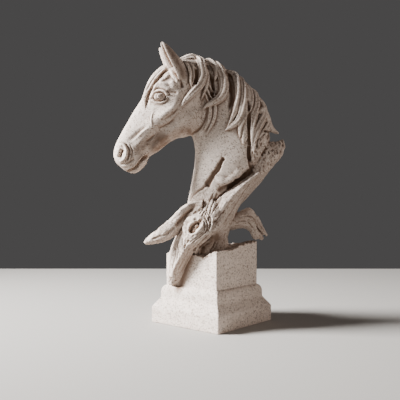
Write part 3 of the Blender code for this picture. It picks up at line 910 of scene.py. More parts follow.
RIDGES = [
    Ridge([(12.5, 10, 80), (9, 11, 94), (12.5, 12, 108), (22, 12, 122)], 6, 4),
    Ridge([(11, -13, 82), (9, -14, 98), (16.5, -15, 114), (30, -14, 131), (45, -11, 148),
           (59.5, -7, 165)], 6.4, 4.8),
    Ridge([(-12, -12, 82), (-8, -14, 100), (2, -15, 118), (16, -15, 136), (30, -14, 152)], 6.8,
          4.8),
    Ridge([(-18, 0, 84), (-19, 3, 100), (-18, 8, 112), (-12, 13, 124)], 4.8, 4.2),
    Ridge([(50, 8, 229), (56, 7, 217), (60.8, 6, 209), (66, 5, 204.6), (71.2, 4, 201.6)], 7.4, 1,
          Bark(0.35, 2.2, 9, 8)),
    # the branch's torn end: an upper and a lower prong, and a snag on top
    Ridge([(46, -2, 112), (50.5, -3, 104), (55.5, -4, 96.5), (60.2, -4, 91.4)], 4.6, 1.3,
          Bark(0.5, 2, 7, 9)),
    Ridge([(45, -3, 101), (49, -4, 94.5), (53, -5, 90.2), (56, -5, 88)], 4.6, 1.6,
          Bark(0.5, 2, 7, 10)),
    Ridge([(30, 0, 116.5), (36, 0, 119), (40, 0, 120.4), (44.5, 0, 117.6)], 2.2, 1.6),
]

MOUTH = [(-91.5, 160.5), (-86.1, 162.8), (-82.3, 165.1), (-78, 170.7), (-74.8, 174.1),
         (-70.9, 176.4)]

MANE_STROKES = on_both_sides([
    Stroke([(-20.2, 269), (-19.7, 258.9), (-21.6, 250.4)], 2.6, 2.6, Cut.TROUGH),
    Stroke([(-8.4, 275.1), (-3.8, 265.7), (-0.9, 255.3), (-0.2, 246.8), (-3.6, 239.4)], 3.2, 3,
           Cut.TROUGH),
    Stroke([(13.6, 269.5), (18.2, 261.5), (20.4, 249), (20.2, 236.5), (17.2, 225)], 3.8, 3.4,
           Cut.TROUGH, ends=0.2),
    Stroke([(37.9, 236.8), (38.6, 225.8), (38, 215.3), (38.3, 202.6), (38.6, 190), (38, 177.3),
            (41, 170), (44.1, 163.6)], 2.4, 3, Cut.TROUGH, ends=0.06),
])

FACE_STROKES = on_both_sides([
    # broad planes: the crest of the cheek, the hollow below it, and the muscles of the jaw
    Stroke([(-37, 246), (-40, 236), (-46, 226.5), (-54, 219.5), (-63, 212.5), (-73, 203),
            (-83, 193)], 9, 1.6, Cut.RIDGE, ends=0.25),
    Stroke([(-37, 222), (-43.5, 213.6), (-52, 206), (-61.5, 199.5), (-71, 192), (-80, 184.5)], 8.5,
           2.6, Cut.TROUGH, ends=0.25),
    Stroke([(-60.5, 205.5), (-69, 197.5), (-79, 189.5), (-87, 183.5)], 5, 1.3, Cut.RIDGE,
           ends=0.4),
    Stroke([(-50, 201.5), (-60, 192.5), (-70, 183.5), (-79, 177)], 5, 1.3, Cut.TROUGH, ends=0.4),
    # nostril, its rims and the folds behind it
    Stroke([(-99, 174.6), (-98, 179.6), (-95.8, 183.8)], 3.3, 3.6, Cut.TROUGH),
    Stroke([(-99.5, 188), (-95.4, 188.4), (-92.5, 184.2), (-92.4, 178), (-95, 172.6),
            (-99.5, 171)], 2.3, 1.7, Cut.RIDGE),
    Stroke([(-92.5, 189.6), (-89.4, 184.2), (-89.3, 178), (-91.4, 171.6)], 1.3, 0.9),
    Stroke([(-88.8, 188.6), (-86.4, 183), (-86.5, 177), (-88.5, 171)], 1.2, 0.7),
    Stroke([(-98, 168.6), (-93.4, 168.2), (-88.5, 170.6), (-83.5, 174)], 1.6, 1),
    # mouth
    Stroke(MOUTH, 1.9, 2.4, least=0.5, ends=0.05),
    Stroke([(-73, 174.6), (-70.8, 176.6)], 3.2, 2.2, Cut.TROUGH, ends=0),
    Stroke([(-85, 160.6), (-78.6, 163.4), (-74, 168.2), (-71.2, 172.4)], 2.8, 1, Cut.RIDGE),
    # lines of the cheek
    Stroke([(-38, 238.4), (-43.6, 226.7), (-52.6, 220), (-60.6, 214)], 4.6, 1, Cut.RIDGE,
           ends=0.35),
    Stroke([(-38.5, 229), (-43.4, 221.9), (-51.3, 215.9), (-58.9, 211.6)], 2, 0.8, ends=0.35),
    Stroke([(-36.5, 227.1), (-43.6, 217.6), (-50.2, 212.4), (-57.5, 209.2), (-65.8, 208.7)], 1.6,
           0.7, Cut.RIDGE, ends=0.25),
    Stroke([(-42.9, 214.4), (-49.5, 209.7), (-57, 206.6), (-64, 206.2)], 1.6, 0.6, ends=0.3),
    Stroke([(-64.4, 224), (-66, 217.6), (-66.3, 211.6), (-64.8, 203.7)], 1.4, 0.8, Cut.RIDGE,
           ends=0.3),
    Stroke([(-67.2, 210.6), (-76.6, 203.9), (-84, 197.2), (-91.5, 191.5)], 3.6, 1.1, Cut.TROUGH,
           ends=0.3),
    Stroke([(-68.8, 206.8), (-76.4, 200.8), (-82.6, 195)], 2.2, 0.7, Cut.RIDGE, ends=0.4),
    Stroke([(-62, 200), (-68, 194.6), (-75, 191)], 2.4, 0.8, Cut.TROUGH, ends=0.4),
    Stroke([(-56, 191.6), (-63, 187), (-68, 180)], 2.6, 0.8, Cut.RIDGE, ends=0.4),
    Stroke([(-8, 234), (-7.9, 221.3), (-11.5, 210.9), (-17.3, 203.9), (-26, 199.6)], 2.6, 1.6,
           Cut.TROUGH, ends=0.3),
    # temple: rim from the ear, a bump, a slit and hollows round them
    Stroke([(-46.6, 268), (-44.4, 261.5), (-40.5, 256), (-38, 249.4)], 2.9, 1.6, Cut.RIDGE,
           ends=0.3),
    Stroke([(-44.8, 252), (-43.4, 250)], 4.8, 1.4, Cut.RIDGE, ends=0),
    Stroke([(-37.8, 257.1), (-35.2, 251.5), (-35.4, 246.4)], 2.6, 1.7, Cut.TROUGH, ends=0.3),
    Stroke([(-47.5, 243.2), (-42.5, 242.6)], 3.8, 1.3, Cut.TROUGH, ends=0),
    Stroke([(-53, 257.6), (-49, 257)], 5, 1.1, Cut.TROUGH, ends=0),
    Stroke([(-67, 246.5), (-61.6, 250.8), (-55, 251.9), (-49.5, 249.3)], 3.6, 1.2, Cut.RIDGE,
           ends=0.3),
    # forelock: the edge of its lowest strand, a line on it, and the strand above the brow
    Stroke([(-46.6, 268.4), (-51.8, 264.9), (-58.6, 257.5), (-64.6, 248.5), (-68.5, 240.9),
            (-71, 228)], 1.8, 1.6, least=0.5, ends=0.15),
    Stroke([(-52, 271), (-60.5, 263), (-67, 253.5), (-71, 244.5)], 1.5, 1.1, least=0.5, ends=0.2),
    Stroke([(-46.5, 263), (-53, 257.8), (-58.6, 252.6)], 2.2, 1.1, Cut.RIDGE, ends=0.3),
    # eye: fold above, two lids, the opening and the ball's own ring
    Stroke([(-66, 243.1), (-60.5, 246.9), (-53.6, 245.9), (-47.6, 242)], 1.3, 1.2),
    Stroke([(-66, 237.2), (-63, 242.4), (-57.8, 244.2), (-52.6, 242.4), (-49.6, 238.4)], 1.5, 1.3,
           Cut.RIDGE),
    Stroke([(-65.8, 236.2), (-62.2, 232.7), (-57.4, 231.4), (-52.6, 233.4), (-49.8, 237.2)], 1.5,
           1.1, Cut.RIDGE),
    Stroke(oval(-58.2, 238, 6.4, 4.7, -6), 1.2, 1.5, closed=True),
    Stroke(oval(-58.4, 238, 3.2, 3.1), 1, 1.2, closed=True),
    Stroke([(-69, 236), (-66.2, 236.4), (-64.2, 237.4)], 1.3, 1),
    Stroke([(-50.8, 238.6), (-47.8, 240.2)], 1.2, 0.8, ends=0),
])

# painted shade and wash, laid where the photograph is dark: eye, throat, muzzle, under the cheek,
# cheek, back of the ear, mouth, snout, pit, small eye, small ear, branch, foot of the trunk
SHADE = [
    Stroke([(-61, 238.2), (-55.5, 238)], 7.5, 0.45, Cut.TROUGH, Side.BOTH, least=6, ends=0),
    Stroke([(-19, 203), (-26, 188), (-28, 168)], 10, 0.65, Cut.TROUGH, Side.BOTH, least=1,
           ends=0.2),
    Stroke([(-50, 203), (-62, 196), (-74, 188), (-87, 180)], 15, 0.7, Cut.TROUGH, Side.BOTH,
           ends=0.2),
    Stroke([(-20, 207), (-38, 199), (-54, 189), (-66, 177)], 12, 1, Cut.TROUGH, Side.BOTH,
           ends=0.15),
    Stroke([(-42, 236), (-32, 222), (-20, 212)], 14, 0.32, Cut.TROUGH, Side.BOTH, ends=0),
    Stroke([(-49.5, 290), (-41, 274), (-32.5, 259)], 8, 0.85, Cut.TROUGH, Side.BOTH, ends=0),
    Stroke(MOUTH, 2.8, 1.7, Cut.TROUGH, Side.BOTH, least=0.5, ends=0),
    Stroke([(-17, 88), (-23, 76), (-29, 63), (-34, 52), (-38, 45)], 6, 0.7, Cut.TROUGH, least=4,
           ends=0.1),
    Stroke([(1, 92), (-7, 84), (-14, 74)], 9, 1.1, Cut.TROUGH, least=4, ends=0),
    Stroke([(-22.6, 99.6), (-20.6, 103), (-17.4, 106), (-12.5, 109.4)], 3.4, 1.3, Cut.TROUGH,
           least=16, ends=0),
    Stroke([(-14.9, 127.6), (-21.1, 122), (-27.3, 115.8), (-33.5, 109), (-38.6, 103.3)], 4.6, 0.9,
           Cut.TROUGH, least=12, ends=0.1),
    Stroke([(20, 108), (34, 110), (46, 104), (55, 93)], 15, 0.6, Cut.TROUGH, Side.BOTH, least=0.2,
           ends=0),
    Stroke([(8, 96), (9, 84)], 9, 0.7, Cut.TROUGH, least=4, ends=0),
]

WOOD_STROKES = [
    # slot in the neck and the ragged line on from it
    Stroke([(10.6, 172.9), (8, 167.7), (3.3, 160.3), (-1.2, 153.4), (-5.5, 146.7)], 2.9, 2.5,
           Cut.SLOT, ends=0, ragged=0.3),
    Stroke([(-5.5, 147.7), (-9.7, 143.1), (-16, 139.3), (-21.3, 134), (-24.4, 128.8)], 1.8, 1.7,
           ends=0.1),
    # lip of the neck over the driftwood, and the crevice below it
    Stroke([(5.5, 156.6), (8.6, 151.2), (14, 149.4), (20.6, 152.8), (26.9, 158), (33.1, 163.4)], 6,
           1.9, Cut.RIDGE, ends=0.2, ragged=0.2),
    Stroke([(4.9, 141), (12.2, 143.8), (20.6, 148.3), (29, 153.6), (36.3, 158), (43.6, 162.3)],
           3.6, 3.8, Cut.TROUGH, ends=0.1, ragged=0.25),
    Stroke([(41.5, 161), (39.5, 169), (38.2, 177), (38.4, 187)], 2.2, 2.8, Cut.TROUGH, ends=0.08),
    # dark crease under the spur of the mane
    Stroke([(53.1, 203.6), (59.4, 202.4), (62.2, 198)], 2.4, 2.2, Cut.TROUGH, ends=0.1),
    # thin cracks that run down the lit plane and meet at its foot
    Stroke([(0.6, 139.3), (-2.5, 130), (-5.6, 121.7), (-7.7, 116.5)], 1, 1),
    Stroke([(4.8, 138.3), (0.6, 127.9), (-2.5, 118.5), (-5.6, 110.2)], 1.1, 1.2),
    Stroke([(11, 135.2), (4.8, 125.8), (-0.4, 117.5), (-4.6, 109.2)], 1, 0.9),
    Stroke([(19.4, 131), (10.1, 118.5), (0.7, 108)], 1.1, 1),
    Stroke([(-6.7, 123.8), (-4.6, 116.5), (-1.5, 111.3), (-3.6, 104.1), (-8.7, 97.9)], 1.2, 1.4),
    # cracks on the plane that faces right
    Stroke([(22.7, 133), (16.4, 124.7), (10.1, 116.3), (3.9, 107.9), (-1.4, 99.6)], 1, 0.7),
    Stroke([(27.9, 130.9), (21.7, 120.5), (14.3, 111.1), (7, 99.6)], 1.1, 0.7),
    Stroke([(42, 150), (34, 140), (27, 129)], 1.1, 0.7),
    Stroke([(50, 158), (40, 145), (31, 133)], 1, 0.6),
    # grain of the branch, and the split in its torn end
    Stroke([(25.9, 110.3), (34.5, 113.6), (43.1, 112.5), (48.5, 104.9), (53.9, 95.2)], 1.2, 0.7,
           side=Side.BOTH, least=0.5),
    Stroke([(22.6, 104.9), (31.3, 108.2), (38.8, 107.1), (44.2, 99.6), (48.5, 89.9)], 1.1, 0.6,
           side=Side.BOTH, least=0.5),
    Stroke([(48.2, 103.4), (52.9, 96), (58.1, 89.2)], 1.7, 2.6, Cut.TROUGH, Side.BOTH, least=0,
           ends=0.05),
]

SMALL_HEAD_STROKES = [
    # hollow of the ear between its bright upper edge and its lower edge
    Stroke([(-14.9, 127.6), (-21.1, 122), (-27.3, 115.8), (-33.5, 109), (-37.6, 103.3)], 4.4, 2.6,
           Cut.TROUGH, least=16, ends=0.28),
    Stroke([(-13.9, 131.1), (-25.2, 125.9), (-35.5, 118.2), (-45.8, 109), (-57.2, 99.1)], 2.6, 1.3,
           Cut.RIDGE, least=14),
    Stroke([(-38, 103.5), (-46, 97.4), (-55, 93.4), (-63, 90.4)], 1.4, 0.8, least=14),
    # arris between the lit and the shaded plane of the snout
    Stroke([(-26.3, 89.9), (-29.4, 79.5), (-33.5, 71.3), (-37.6, 64.1), (-41.2, 56.8),
            (-43.8, 49.6)], 2.4, 0.8, Cut.RIDGE, least=8, ends=0.2),
    # eye: lids in a leaf shape, a hole drawn out to the right, the ball, lines round the lids
    Stroke([(-29.7, 102.6), (-26.1, 110.2), (-19, 113.3), (-11.9, 111.8), (-9.3, 106.7),
            (-12.9, 101.6), (-19, 96.4), (-24.6, 92.9), (-27.4, 97)], 2.6, 1.4, Cut.RIDGE,
           least=18, closed=True, ragged=0.2),
    Stroke([(-21.4, 100.6), (-19.8, 103.6), (-16.6, 106.2)], 3.9, 3.6, Cut.SLOT, least=18, ends=0,
           ragged=0.12),
    Stroke([(-14.8, 107.8), (-10.8, 110.6)], 1.6, 2, Cut.TROUGH, least=18, ends=0),
    Stroke([(-17.4, 105), (-15.8, 106.2)], 2.2, 1.6, Cut.RIDGE, least=14, ends=0),
    Stroke([(-10.6, 111.2), (-8.2, 106.6), (-9, 100.4), (-13.4, 95.8), (-20, 90.7), (-25.7, 86.3)],
           1, 1.1, least=12),
    Stroke([(-9.4, 116.3), (-5.7, 108.6), (-6.3, 101.9), (-10, 96.3), (-16.5, 91.2),
            (-23.1, 85.6)], 1.1, 1, least=12),
    Stroke([(-7.6, 118.3), (-3.5, 109.6), (-3.3, 101.9), (-6.2, 97.3)], 1, 0.9, least=12),
    Stroke([(-13.4, 116.1), (-9.6, 121.1)], 0.9, 0.9, least=12),
    Stroke([(-11.3, 114.6), (-7.7, 119.7)], 0.9, 0.9, least=12),
    # fine grain of the snout
    Stroke([(-26.9, 99.4), (-26.4, 94.3), (-27.6, 89.1), (-28.4, 82.5)], 1.1, 1.3, least=12),
    Stroke([(-23.6, 90.7), (-26.6, 86.8), (-28.9, 81.5)], 1.2, 1.4, least=12),
    Stroke([(-30.7, 93.2), (-31.1, 87.1), (-30.6, 80.4), (-29.3, 75.8)], 1, 1, least=12),
    Stroke([(-35, 89.7), (-36.2, 84), (-35, 77.9), (-37, 70)], 1, 0.9, least=10),
    Stroke([(-39, 82.8), (-37.9, 74.6), (-40.1, 66.4), (-42.2, 59.2)], 1, 0.9, least=8),
    Stroke([(-42, 76), (-43.2, 68), (-44.6, 60), (-45.6, 53)], 0.9, 0.7, least=6),
    Stroke([(-32.4, 76.7), (-33.4, 71), (-37, 63.3)], 0.9, 0.8, least=8),
    Stroke([(-23, 82), (-27, 74), (-31.8, 65), (-36, 56)], 1, 0.8, least=6),
    Stroke([(-20, 79), (-24.6, 70), (-29.4, 61), (-34, 52)], 0.9, 0.7, least=6),
    Stroke([(-16, 88), (-20.4, 82), (-24, 76.6)], 0.9, 0.8, least=6),
    # dark grooves behind the jaw, where the small head leaves the trunk, and the pit below
    Stroke([(-3.1, 97.4), (-7.3, 92.3), (-12.4, 86.4), (-17, 81.8), (-20.5, 78.1)], 1.5, 2.4,
           Cut.TROUGH, least=6),
    Stroke([(2.1, 95.2), (-3.3, 90.8), (-8.6, 86.6), (-12.7, 82), (-16.5, 77.4)], 1.5, 2,
           Cut.TROUGH, least=6),
    Stroke([(-3.6, 86.8), (-8.8, 82.1), (-13.4, 77.5), (-16.4, 73.8)], 1.8, 2.2, Cut.TROUGH,
           least=6),
    Stroke([(-6.7, 82.5), (-10, 77.3), (-11.8, 72.1)], 3, 2.8, Cut.TROUGH, least=6),
    Stroke([(4, 88), (0.6, 82), (-3, 77)], 1.4, 1.4, Cut.TROUGH, least=6),
    # nostril and mouth
    Stroke([(-43.9, 49.4), (-44.2, 46)], 1.7, 1.8, Cut.TROUGH, least=4, ends=0),
    Stroke([(-37.6, 46.6), (-42.3, 44), (-46, 44.4)], 1.1, 0.9, least=4),
]


@dataclass(frozen=True)
class Carving:
    """Strokes that are carved together, and the wash that stays in them."""

    strokes: list[Stroke]
    washed: float                   # share of wash at full depth
    waver: float                    # how far their lines stray, in mm


CARVINGS = (Carving(WOOD_STROKES, 0.9, 0.9), Carving(SMALL_HEAD_STROKES, 0.8, 0.5),
            Carving(MANE_STROKES, 0.5, 0.0), Carving(FACE_STROKES, 0.0, 0.0))


@dataclass
class Plinth:
    """Square moulded plinth of the cast, its block broken off unevenly at the top."""

    block: float = 69.6
    foot_height: float = 16.9
    slope_height: float = 9.8
    slope_reach: float = 6.95
    necking_height: float = 4.9
    ovolo_height: float = 8.2
    ovolo_reach: float = 4.25
    edge_round: float = 1.1
    chamfer: float = 0.8
    collar: float = 70.0            # height from which the block follows its broken edge
    top: float = 79.0               # height of the middle of the broken top
    side_steps: int = 72
    corner_steps: int = 6
    # broken edge along each side: places along it, and heights there
    front_edge: tuple[list[float], list[float]] = (
        [0.0, 0.3, 0.60, 0.68, 0.74, 0.80, 0.86, 0.93, 1.0],
        [73.2, 74.0, 74.4, 73.0, 71.0, 72.6, 75.5, 78.2, 79.0])
    right_edge: tuple[list[float], list[float]] = (
        [0.0, 0.15, 0.3, 0.42, 0.55, 0.7, 0.85, 1.0],
        [79.0, 79.8, 79.4, 80.4, 83.0, 83.6, 85.0, 86.0])
    back_edge: tuple[list[float], list[float]] = (
        [0.0, 0.2, 0.45, 0.6, 0.8, 1.0], [81.0, 82.5, 80.5, 82.0, 84.0, 86.0])
    left_edge: tuple[list[float], list[float]] = (
        [0.0, 0.25, 0.5, 0.75, 1.0], [73.2, 75.5, 76.5, 79.5, 81.0])
    crumbs: tuple[Pattern, ...] = (Pattern(2.6, 3, 0.55), Pattern(1.2, 4, 0.35))
    rubble: Pattern = Pattern(3.4, 9, 1.1)          # roughness of the broken top
    stains: Pattern = Pattern(2.3, 71, 0.9)
    # painted shadow of the snout on the front face, with the wash in the corner beside it
    corner: Stroke = field(default_factory=lambda: Stroke(
        [(2.6, 76.0), (-6.2, 59.0), (-11.5, 47.0), (-14.5, 39.0)], 9.0, 0.95, Cut.TROUGH,
        least=34.0, ends=0.0))

    def profile(self) -> np.ndarray:
        """Half-width against height of the mouldings, from the foot to the block.

        Upright foot, straight slope, upright necking, then a quarter-round into the block.

        Returns:
            Rows (height, half-width) in mm.
        """
        block = self.block / 2.0
        necking = block + self.ovolo_reach
        foot = necking + self.slope_reach
        slope_top = self.foot_height + self.slope_height
        neck_top = slope_top + self.necking_height
        ovolo_top = neck_top + self.ovolo_height
        rows = [(0.0, foot - self.chamfer), (0.25 * self.chamfer, foot - 0.3 * self.chamfer),
                (self.chamfer, foot), (3.0, foot), (8.0, foot), (self.foot_height - 3.0, foot),
                (self.foot_height - 0.6, foot), (self.foot_height + 0.5, foot - 0.45)]
        rows += [(self.foot_height + self.slope_height * t, foot - self.slope_reach * t)
                 for t in (0.2, 0.4, 0.6, 0.8, 0.93)]
        rows += [(slope_top + 0.5, necking), (slope_top + 2.4, necking), (neck_top - 0.4, necking)]
        rows += [(neck_top + self.ovolo_height * math.sin(t),
                  necking - self.ovolo_reach * (1.0 - math.cos(t)))
                 for t in np.linspace(0.06, 1.0, 9) * math.pi / 2.0]
        rows += [(z, block) for z in np.linspace(ovolo_top + 1.5, self.collar, 14)]
        return np.array(rows)

    def ring(self, half: np.ndarray) -> np.ndarray:
        """Points round squares of given half-widths, with rounded corners.

        Args:
            half: half-widths (n,).

        Returns:
            Points (n, count, 2), from the front left corner round by the front.
        """
        inner = (half - self.edge_round)[:, None]
        corners = ((-1, -1), (1, -1), (1, 1), (-1, 1))
        rows = []
        for i, (sx, sy) in enumerate(corners):
            nx, ny = corners[(i + 1) % 4]
            start = math.pi + i * math.pi / 2.0
            turn = start + np.linspace(0.0, math.pi / 2.0, self.corner_steps, endpoint=False)
            rows.append(np.stack([sx * inner + self.edge_round * np.cos(turn),
                                  sy * inner + self.edge_round * np.sin(turn)], axis=-1))
            t = np.linspace(0.0, 1.0, self.side_steps, endpoint=False)[None, :]
            out = start + math.pi / 2.0
            rows.append(np.stack([
                sx * inner + (nx - sx) * inner * t + self.edge_round * math.cos(out),
                sy * inner + (ny - sy) * inner * t + self.edge_round * math.sin(out)], axis=-1))
        return np.concatenate(rows, axis=1)

    def broken_edge(self, flat: np.ndarray) -> np.ndarray:
        """Height of the broken edge at places round the block.

        Heights along each side are joined by straight lines and roughened with noise.

        Args:
            flat: places (n, 2) on the block's outline.

        Returns:
            Heights in mm.
        """
        u, v = flat[:, 0] / self.block + 0.5, flat[:, 1] / self.block + 0.5
        heights = [np.interp(place, *edge)
                   for place, edge in ((u, self.front_edge), (v, self.right_edge),
                                       (u, self.back_edge), (v, self.left_edge))]
        level = np.choose(np.stack([v, 1.0 - u, 1.0 - v, u]).argmin(axis=0), heights)
        spot = np.column_stack([flat, np.zeros(len(flat))])
        for pattern in self.crumbs:
            level = level + pattern.at(spot)
        return level

    def stain_and_painted_shadow(self, points: np.ndarray) -> np.ndarray:
        """Share of brown wash over the broken top and under its edge, and of painted shadow,
        with some wash, beside the snout.

        Args:
            points: places (n, 3) on the plinth.

        Returns:
            The share at each place.
        """
        level = self.broken_edge(points[:, :2])
        near = smooth_step((points[:, 2] - level + 1.6) / 2.2)
        patches = near * np.clip(0.45 + self.stains.at(points), 0.0, 0.95)
        towards = np.broadcast_to(np.array([0.0, -1.0, 0.0]), points.shape)
        # painted shadow of the snout, with some wash, from the corner stroke
        return np.maximum(patches, -self.corner.depth_at(points, towards))

    def surface(self) -> Surface:
        """Skins the mouldings, the block and the rough broken top.

        Returns:
            The closed surface.
        """
        rows = self.profile()
        flat = self.ring(rows[:, 1])
        levels = np.broadcast_to(rows[:, 0][:, None, None], flat.shape[:2] + (1,))
        edge = self.ring(np.array([self.block / 2.0]))[0]
        rim = self.broken_edge(edge)
        rings = [np.column_stack([edge, self.collar + (rim - self.collar) * t])
                 for t in (0.35, 0.7, 0.92, 1.0)]
        for share, rise in ((0.985, 0.25), (0.955, 0.3), (0.91, 0.2), (0.85, 0.3), (0.77, 0.2),
                            (0.66, 0.1), (0.5, 0.0), (0.3, 0.0)):
            spot = edge * share
            rough = self.rubble.at(np.column_stack([spot, np.full(len(spot), 7.0)]))
            level = rim * share + (1.0 - share) * self.top + rise + rough
            rings.append(np.column_stack([spot, level]))
        return tube_surface(np.concatenate([np.concatenate([flat, levels], axis=2),
                                            np.array(rings)]))


# stretch a pattern along the wood: pores run up to the right, streaks down the trunk
PORE_SLANT = np.array([[0.75, 0.0, -0.66], [0.0, 1.0, 0.0], [0.40, 0.0, 0.45]])
STREAK_SLANT = np.array([[0.86, 0.0, 0.07], [0.0, 1.0, 0.0], [-0.5, 0.0, 0.12]])
# rounds of relaxing, and depth in mm that counts as full after them: fine, then broad hollows
RECESS_PASSES = ((10, 0.16), (60, 0.9))


@dataclass
class Figure:
    """Head, neck, mane and driftwood of the cast."""

    eye: tuple[float, float, float] = (-58.2, 14.8, 238.0)
    eye_radii: tuple[float, float, float] = (4.9, 5.4, 4.3)
    jowl: tuple[float, float, float] = (-26.5, 0.0, 221.8)
    jowl_radii: tuple[float, float, float] = (20.0, 18.8, 22.0)
    ear_root: tuple[float, float, float] = (-33.5, 7.0, 257.0)
    ear_root_radii: tuple[float, float, float] = (10.5, 10.5, 13.5)
    # line where the driftwood meets the flesh above it: x, and height there
    seam: tuple[list[float], list[float]] = (
        [-80, -26, -6, 10, 25, 38, 41, 50, 60, 90],
        [132, 127, 139, 144, 153, 161, 186, 197, 205, 207])
    cast_skin: tuple[Pattern, ...] = (Pattern(1.3, 41, 0.05), Pattern(3.1, 42, 0.07))
    wood_skin: tuple[Pattern, ...] = (Pattern(1.5, 43, 0.14), Pattern(4.2, 44, 0.26))
    pores: Pattern = Pattern(1.7, 31)
    pore_depth: float = 2.0
    streaks: Pattern = Pattern(1.7, 47)
    streak_height: float = 0.3
    stains: tuple[Pattern, ...] = (Pattern(5.5, 61, 0.30), Pattern(2.1, 62, 0.22))
    # mottling of the painted shade
    clouds: tuple[Pattern, ...] = (Pattern(5.0, 63, 0.30), Pattern(2.0, 64, 0.15))
    # most painted shade at any point
    most_painted_shade: float = 0.92
    painted_shade_below: float = 0.55        # painted shade on skin that looks down

    def forms(self) -> Surface:
        """All forms of the figure, overlapping.

        Returns:
            One surface in the profile frame.
        """
        flesh = [HEAD.surface(), NECK.surface(), ellipsoid(self.jowl, self.jowl_radii)]
        flesh += [ellipsoid(self.ear_root, self.ear_root_radii, far) for far in (False, True)]
        melted = Skin(Surface.merged(flesh), FLESH_CELL)
        melted.smooth(14)
        under = melted.surface()
        faces = [tuple(face) for face in under.quads] + [tuple(face) for face in under.triangles]
        body = BVHTree.FromPolygons([tuple(point) for point in under.points], faces)
        parts = [under]
        parts += [form.surface()
                  for form in (TRUNK, FLANK, BRANCH, SMALL_HEAD, SMALL_EAR, *SHOULDER, *RIDGES)]
        for side in (Side.NEAR, Side.FAR):
            far = side is Side.FAR
            parts += [Ear().surface(far), ellipsoid(self.eye, self.eye_radii, far)]
            parts += [lock.surface(body, side) for lock in MANE + FOLDS + FORELOCK]
        return Surface.merged(parts)

    def wood_share(self, points: np.ndarray) -> np.ndarray:
        """1 on driftwood, which is right of and below the seam, 0 on flesh, eased over 3 mm."""
        return smooth_step((np.interp(points[:, 0], *self.seam) - points[:, 2]) / 3.0 + 0.5)

    def turned(self, points: np.ndarray) -> np.ndarray:
        """Turns the head towards the viewer, the neck bending evenly below it.

        The turn grows over the 80 mm above a height of 150 mm, or over 12 mm in front of the
        neck, and fades out over 40 mm behind it.

        Args:
            points: places (n, 3) in the profile frame.

        Returns:
            The places after the turn.
        """
        x, y, z = points.T
        risen = smooth_step((z - 150.0) / 80.0)
        forward = smooth_step((-30.0 - x) / 12.0) * (z > 140.0)
        share = 1.0 - (1.0 - risen) * (1.0 - forward)
        angle = HEAD_TURN * share * smooth_step((20.0 - x) / 40.0)
        c, s = np.cos(angle), np.sin(angle)
        return np.stack([x * c - y * s, x * s + y * c, z], axis=1)

    def carve(self, skin: Skin) -> None:
        """Carves the strokes, softens the skin that they moved, and leaves wash in them.

        Args:
            skin: the skin that is carved.
        """
        for carving in CARVINGS:
            normals = skin.normals()
            amount = np.zeros(len(skin.points))
            for stroke in carving.strokes:
                amount += stroke.depth_at(skin.points, normals, carving.waver)
            skin.push(amount, normals)
            skin.smooth(2, np.clip(np.abs(amount) / 3.0, 0.0, 1.0))
            skin.wash = np.maximum(skin.wash, carving.washed * np.clip(-amount / 1.8, 0.0, 1.0))

    def roughened(self, skin: Skin, wood: np.ndarray) -> tuple[np.ndarray, np.ndarray]:
        """Roughens the cast, and gives the wood its streaks and its open pores.

        Streaks and pores are noise stretched along the wood.  The pores are only in the
        weathered wood behind the mane, and the branch has no streaks.

        Args:
            skin: the skin that is moved.
            wood: 1 on driftwood and 0 on flesh.

        Returns:
            Height of the streaks and depth of the pores, from 0 to 1, at each point.
        """
        points = skin.points
        weathered = smooth_step((points[:, 0] - 41.0) / 6.0) * wood \
            * smooth_step((points[:, 2] - 152.0) / 10.0)
        pores = weathered * np.clip(self.pores.at(points @ PORE_SLANT) - 0.1, 0.0, 1.0)
        branch = smooth_step((points[:, 0] - 28.0) / 6.0) * (points[:, 2] < 126.0)
        streaks = wood * (1.0 - branch) * self.streaks.at(points @ STREAK_SLANT)
        skin.push(layered(self.cast_skin, points) + wood * layered(self.wood_skin, points)
                  + self.streak_height * streaks - self.pore_depth * pores)
        return streaks, pores

    def wash(self, skin: Skin, points: np.ndarray, wood: np.ndarray, streaks: np.ndarray,
             pores: np.ndarray) -> None:
        """Lays wash on the wood and in its pores, and painted shade where SHADE says and on what
        looks down.

        Args:
            skin: the skin that is washed.
            points: its places before it was roughened.
            wood: 1 on driftwood and 0 on flesh.
            streaks: height of the wood's streaks.
            pores: depth of the wood's pores.
        """
        worn = np.maximum(wood, 0.6 * self.wood_share(points - np.array([0.0, 0.0, 16.0])))
        mottled = worn * np.clip(0.10 + layered(self.stains, points) - 0.45 * streaks, 0.0, 0.7)
        normals = skin.normals()
        # painted shade: the SHADE strokes, mottled, and the share on skin that looks down, capped
        shade = sum(-stroke.depth_at(points, normals) for stroke in SHADE)
        shade = shade * np.clip(0.8 + layered(self.clouds, points), 0.0, 1.2)
        below = self.painted_shade_below * smooth_step((-0.05 - normals[:, 2]) / 0.6)
        shade = np.clip(np.maximum(shade, below), 0.0, self.most_painted_shade)
        skin.wash = np.maximum.reduce([skin.wash, mottled, 1.6 * pores, shade])

    def carved(self) -> Skin:
        """Melts the forms, smooths them, the flesh more than the wood, and carves them.

        Returns:
            The skin in the profile frame, head turned.
        """
        skin = Skin(self.forms(), SKIN_CELL)
        wood = self.wood_share(skin.points)
        skin.smooth(3, 1.0 - 0.55 * wood)
        self.carve(skin)
        skin.smooth(1, 0.6)
        points = skin.points
        streaks, pores = self.roughened(skin, wood)
        self.wash(skin, points, wood, streaks, pores)
        skin.points = self.turned(skin.points)
        return skin


def on_plinth(points: np.ndarray) -> np.ndarray:
    """Turns places from the profile frame into the part's own.

    Args:
        points: places (n, 3) in the profile frame.

    Returns:
        The places, turned about the upright axis.
    """
    c, s = math.cos(FIGURE_TURN), math.sin(FIGURE_TURN)
    x, y, z = points.T
    return np.stack([x * c - y * s, x * s + y * c, z], axis=1)


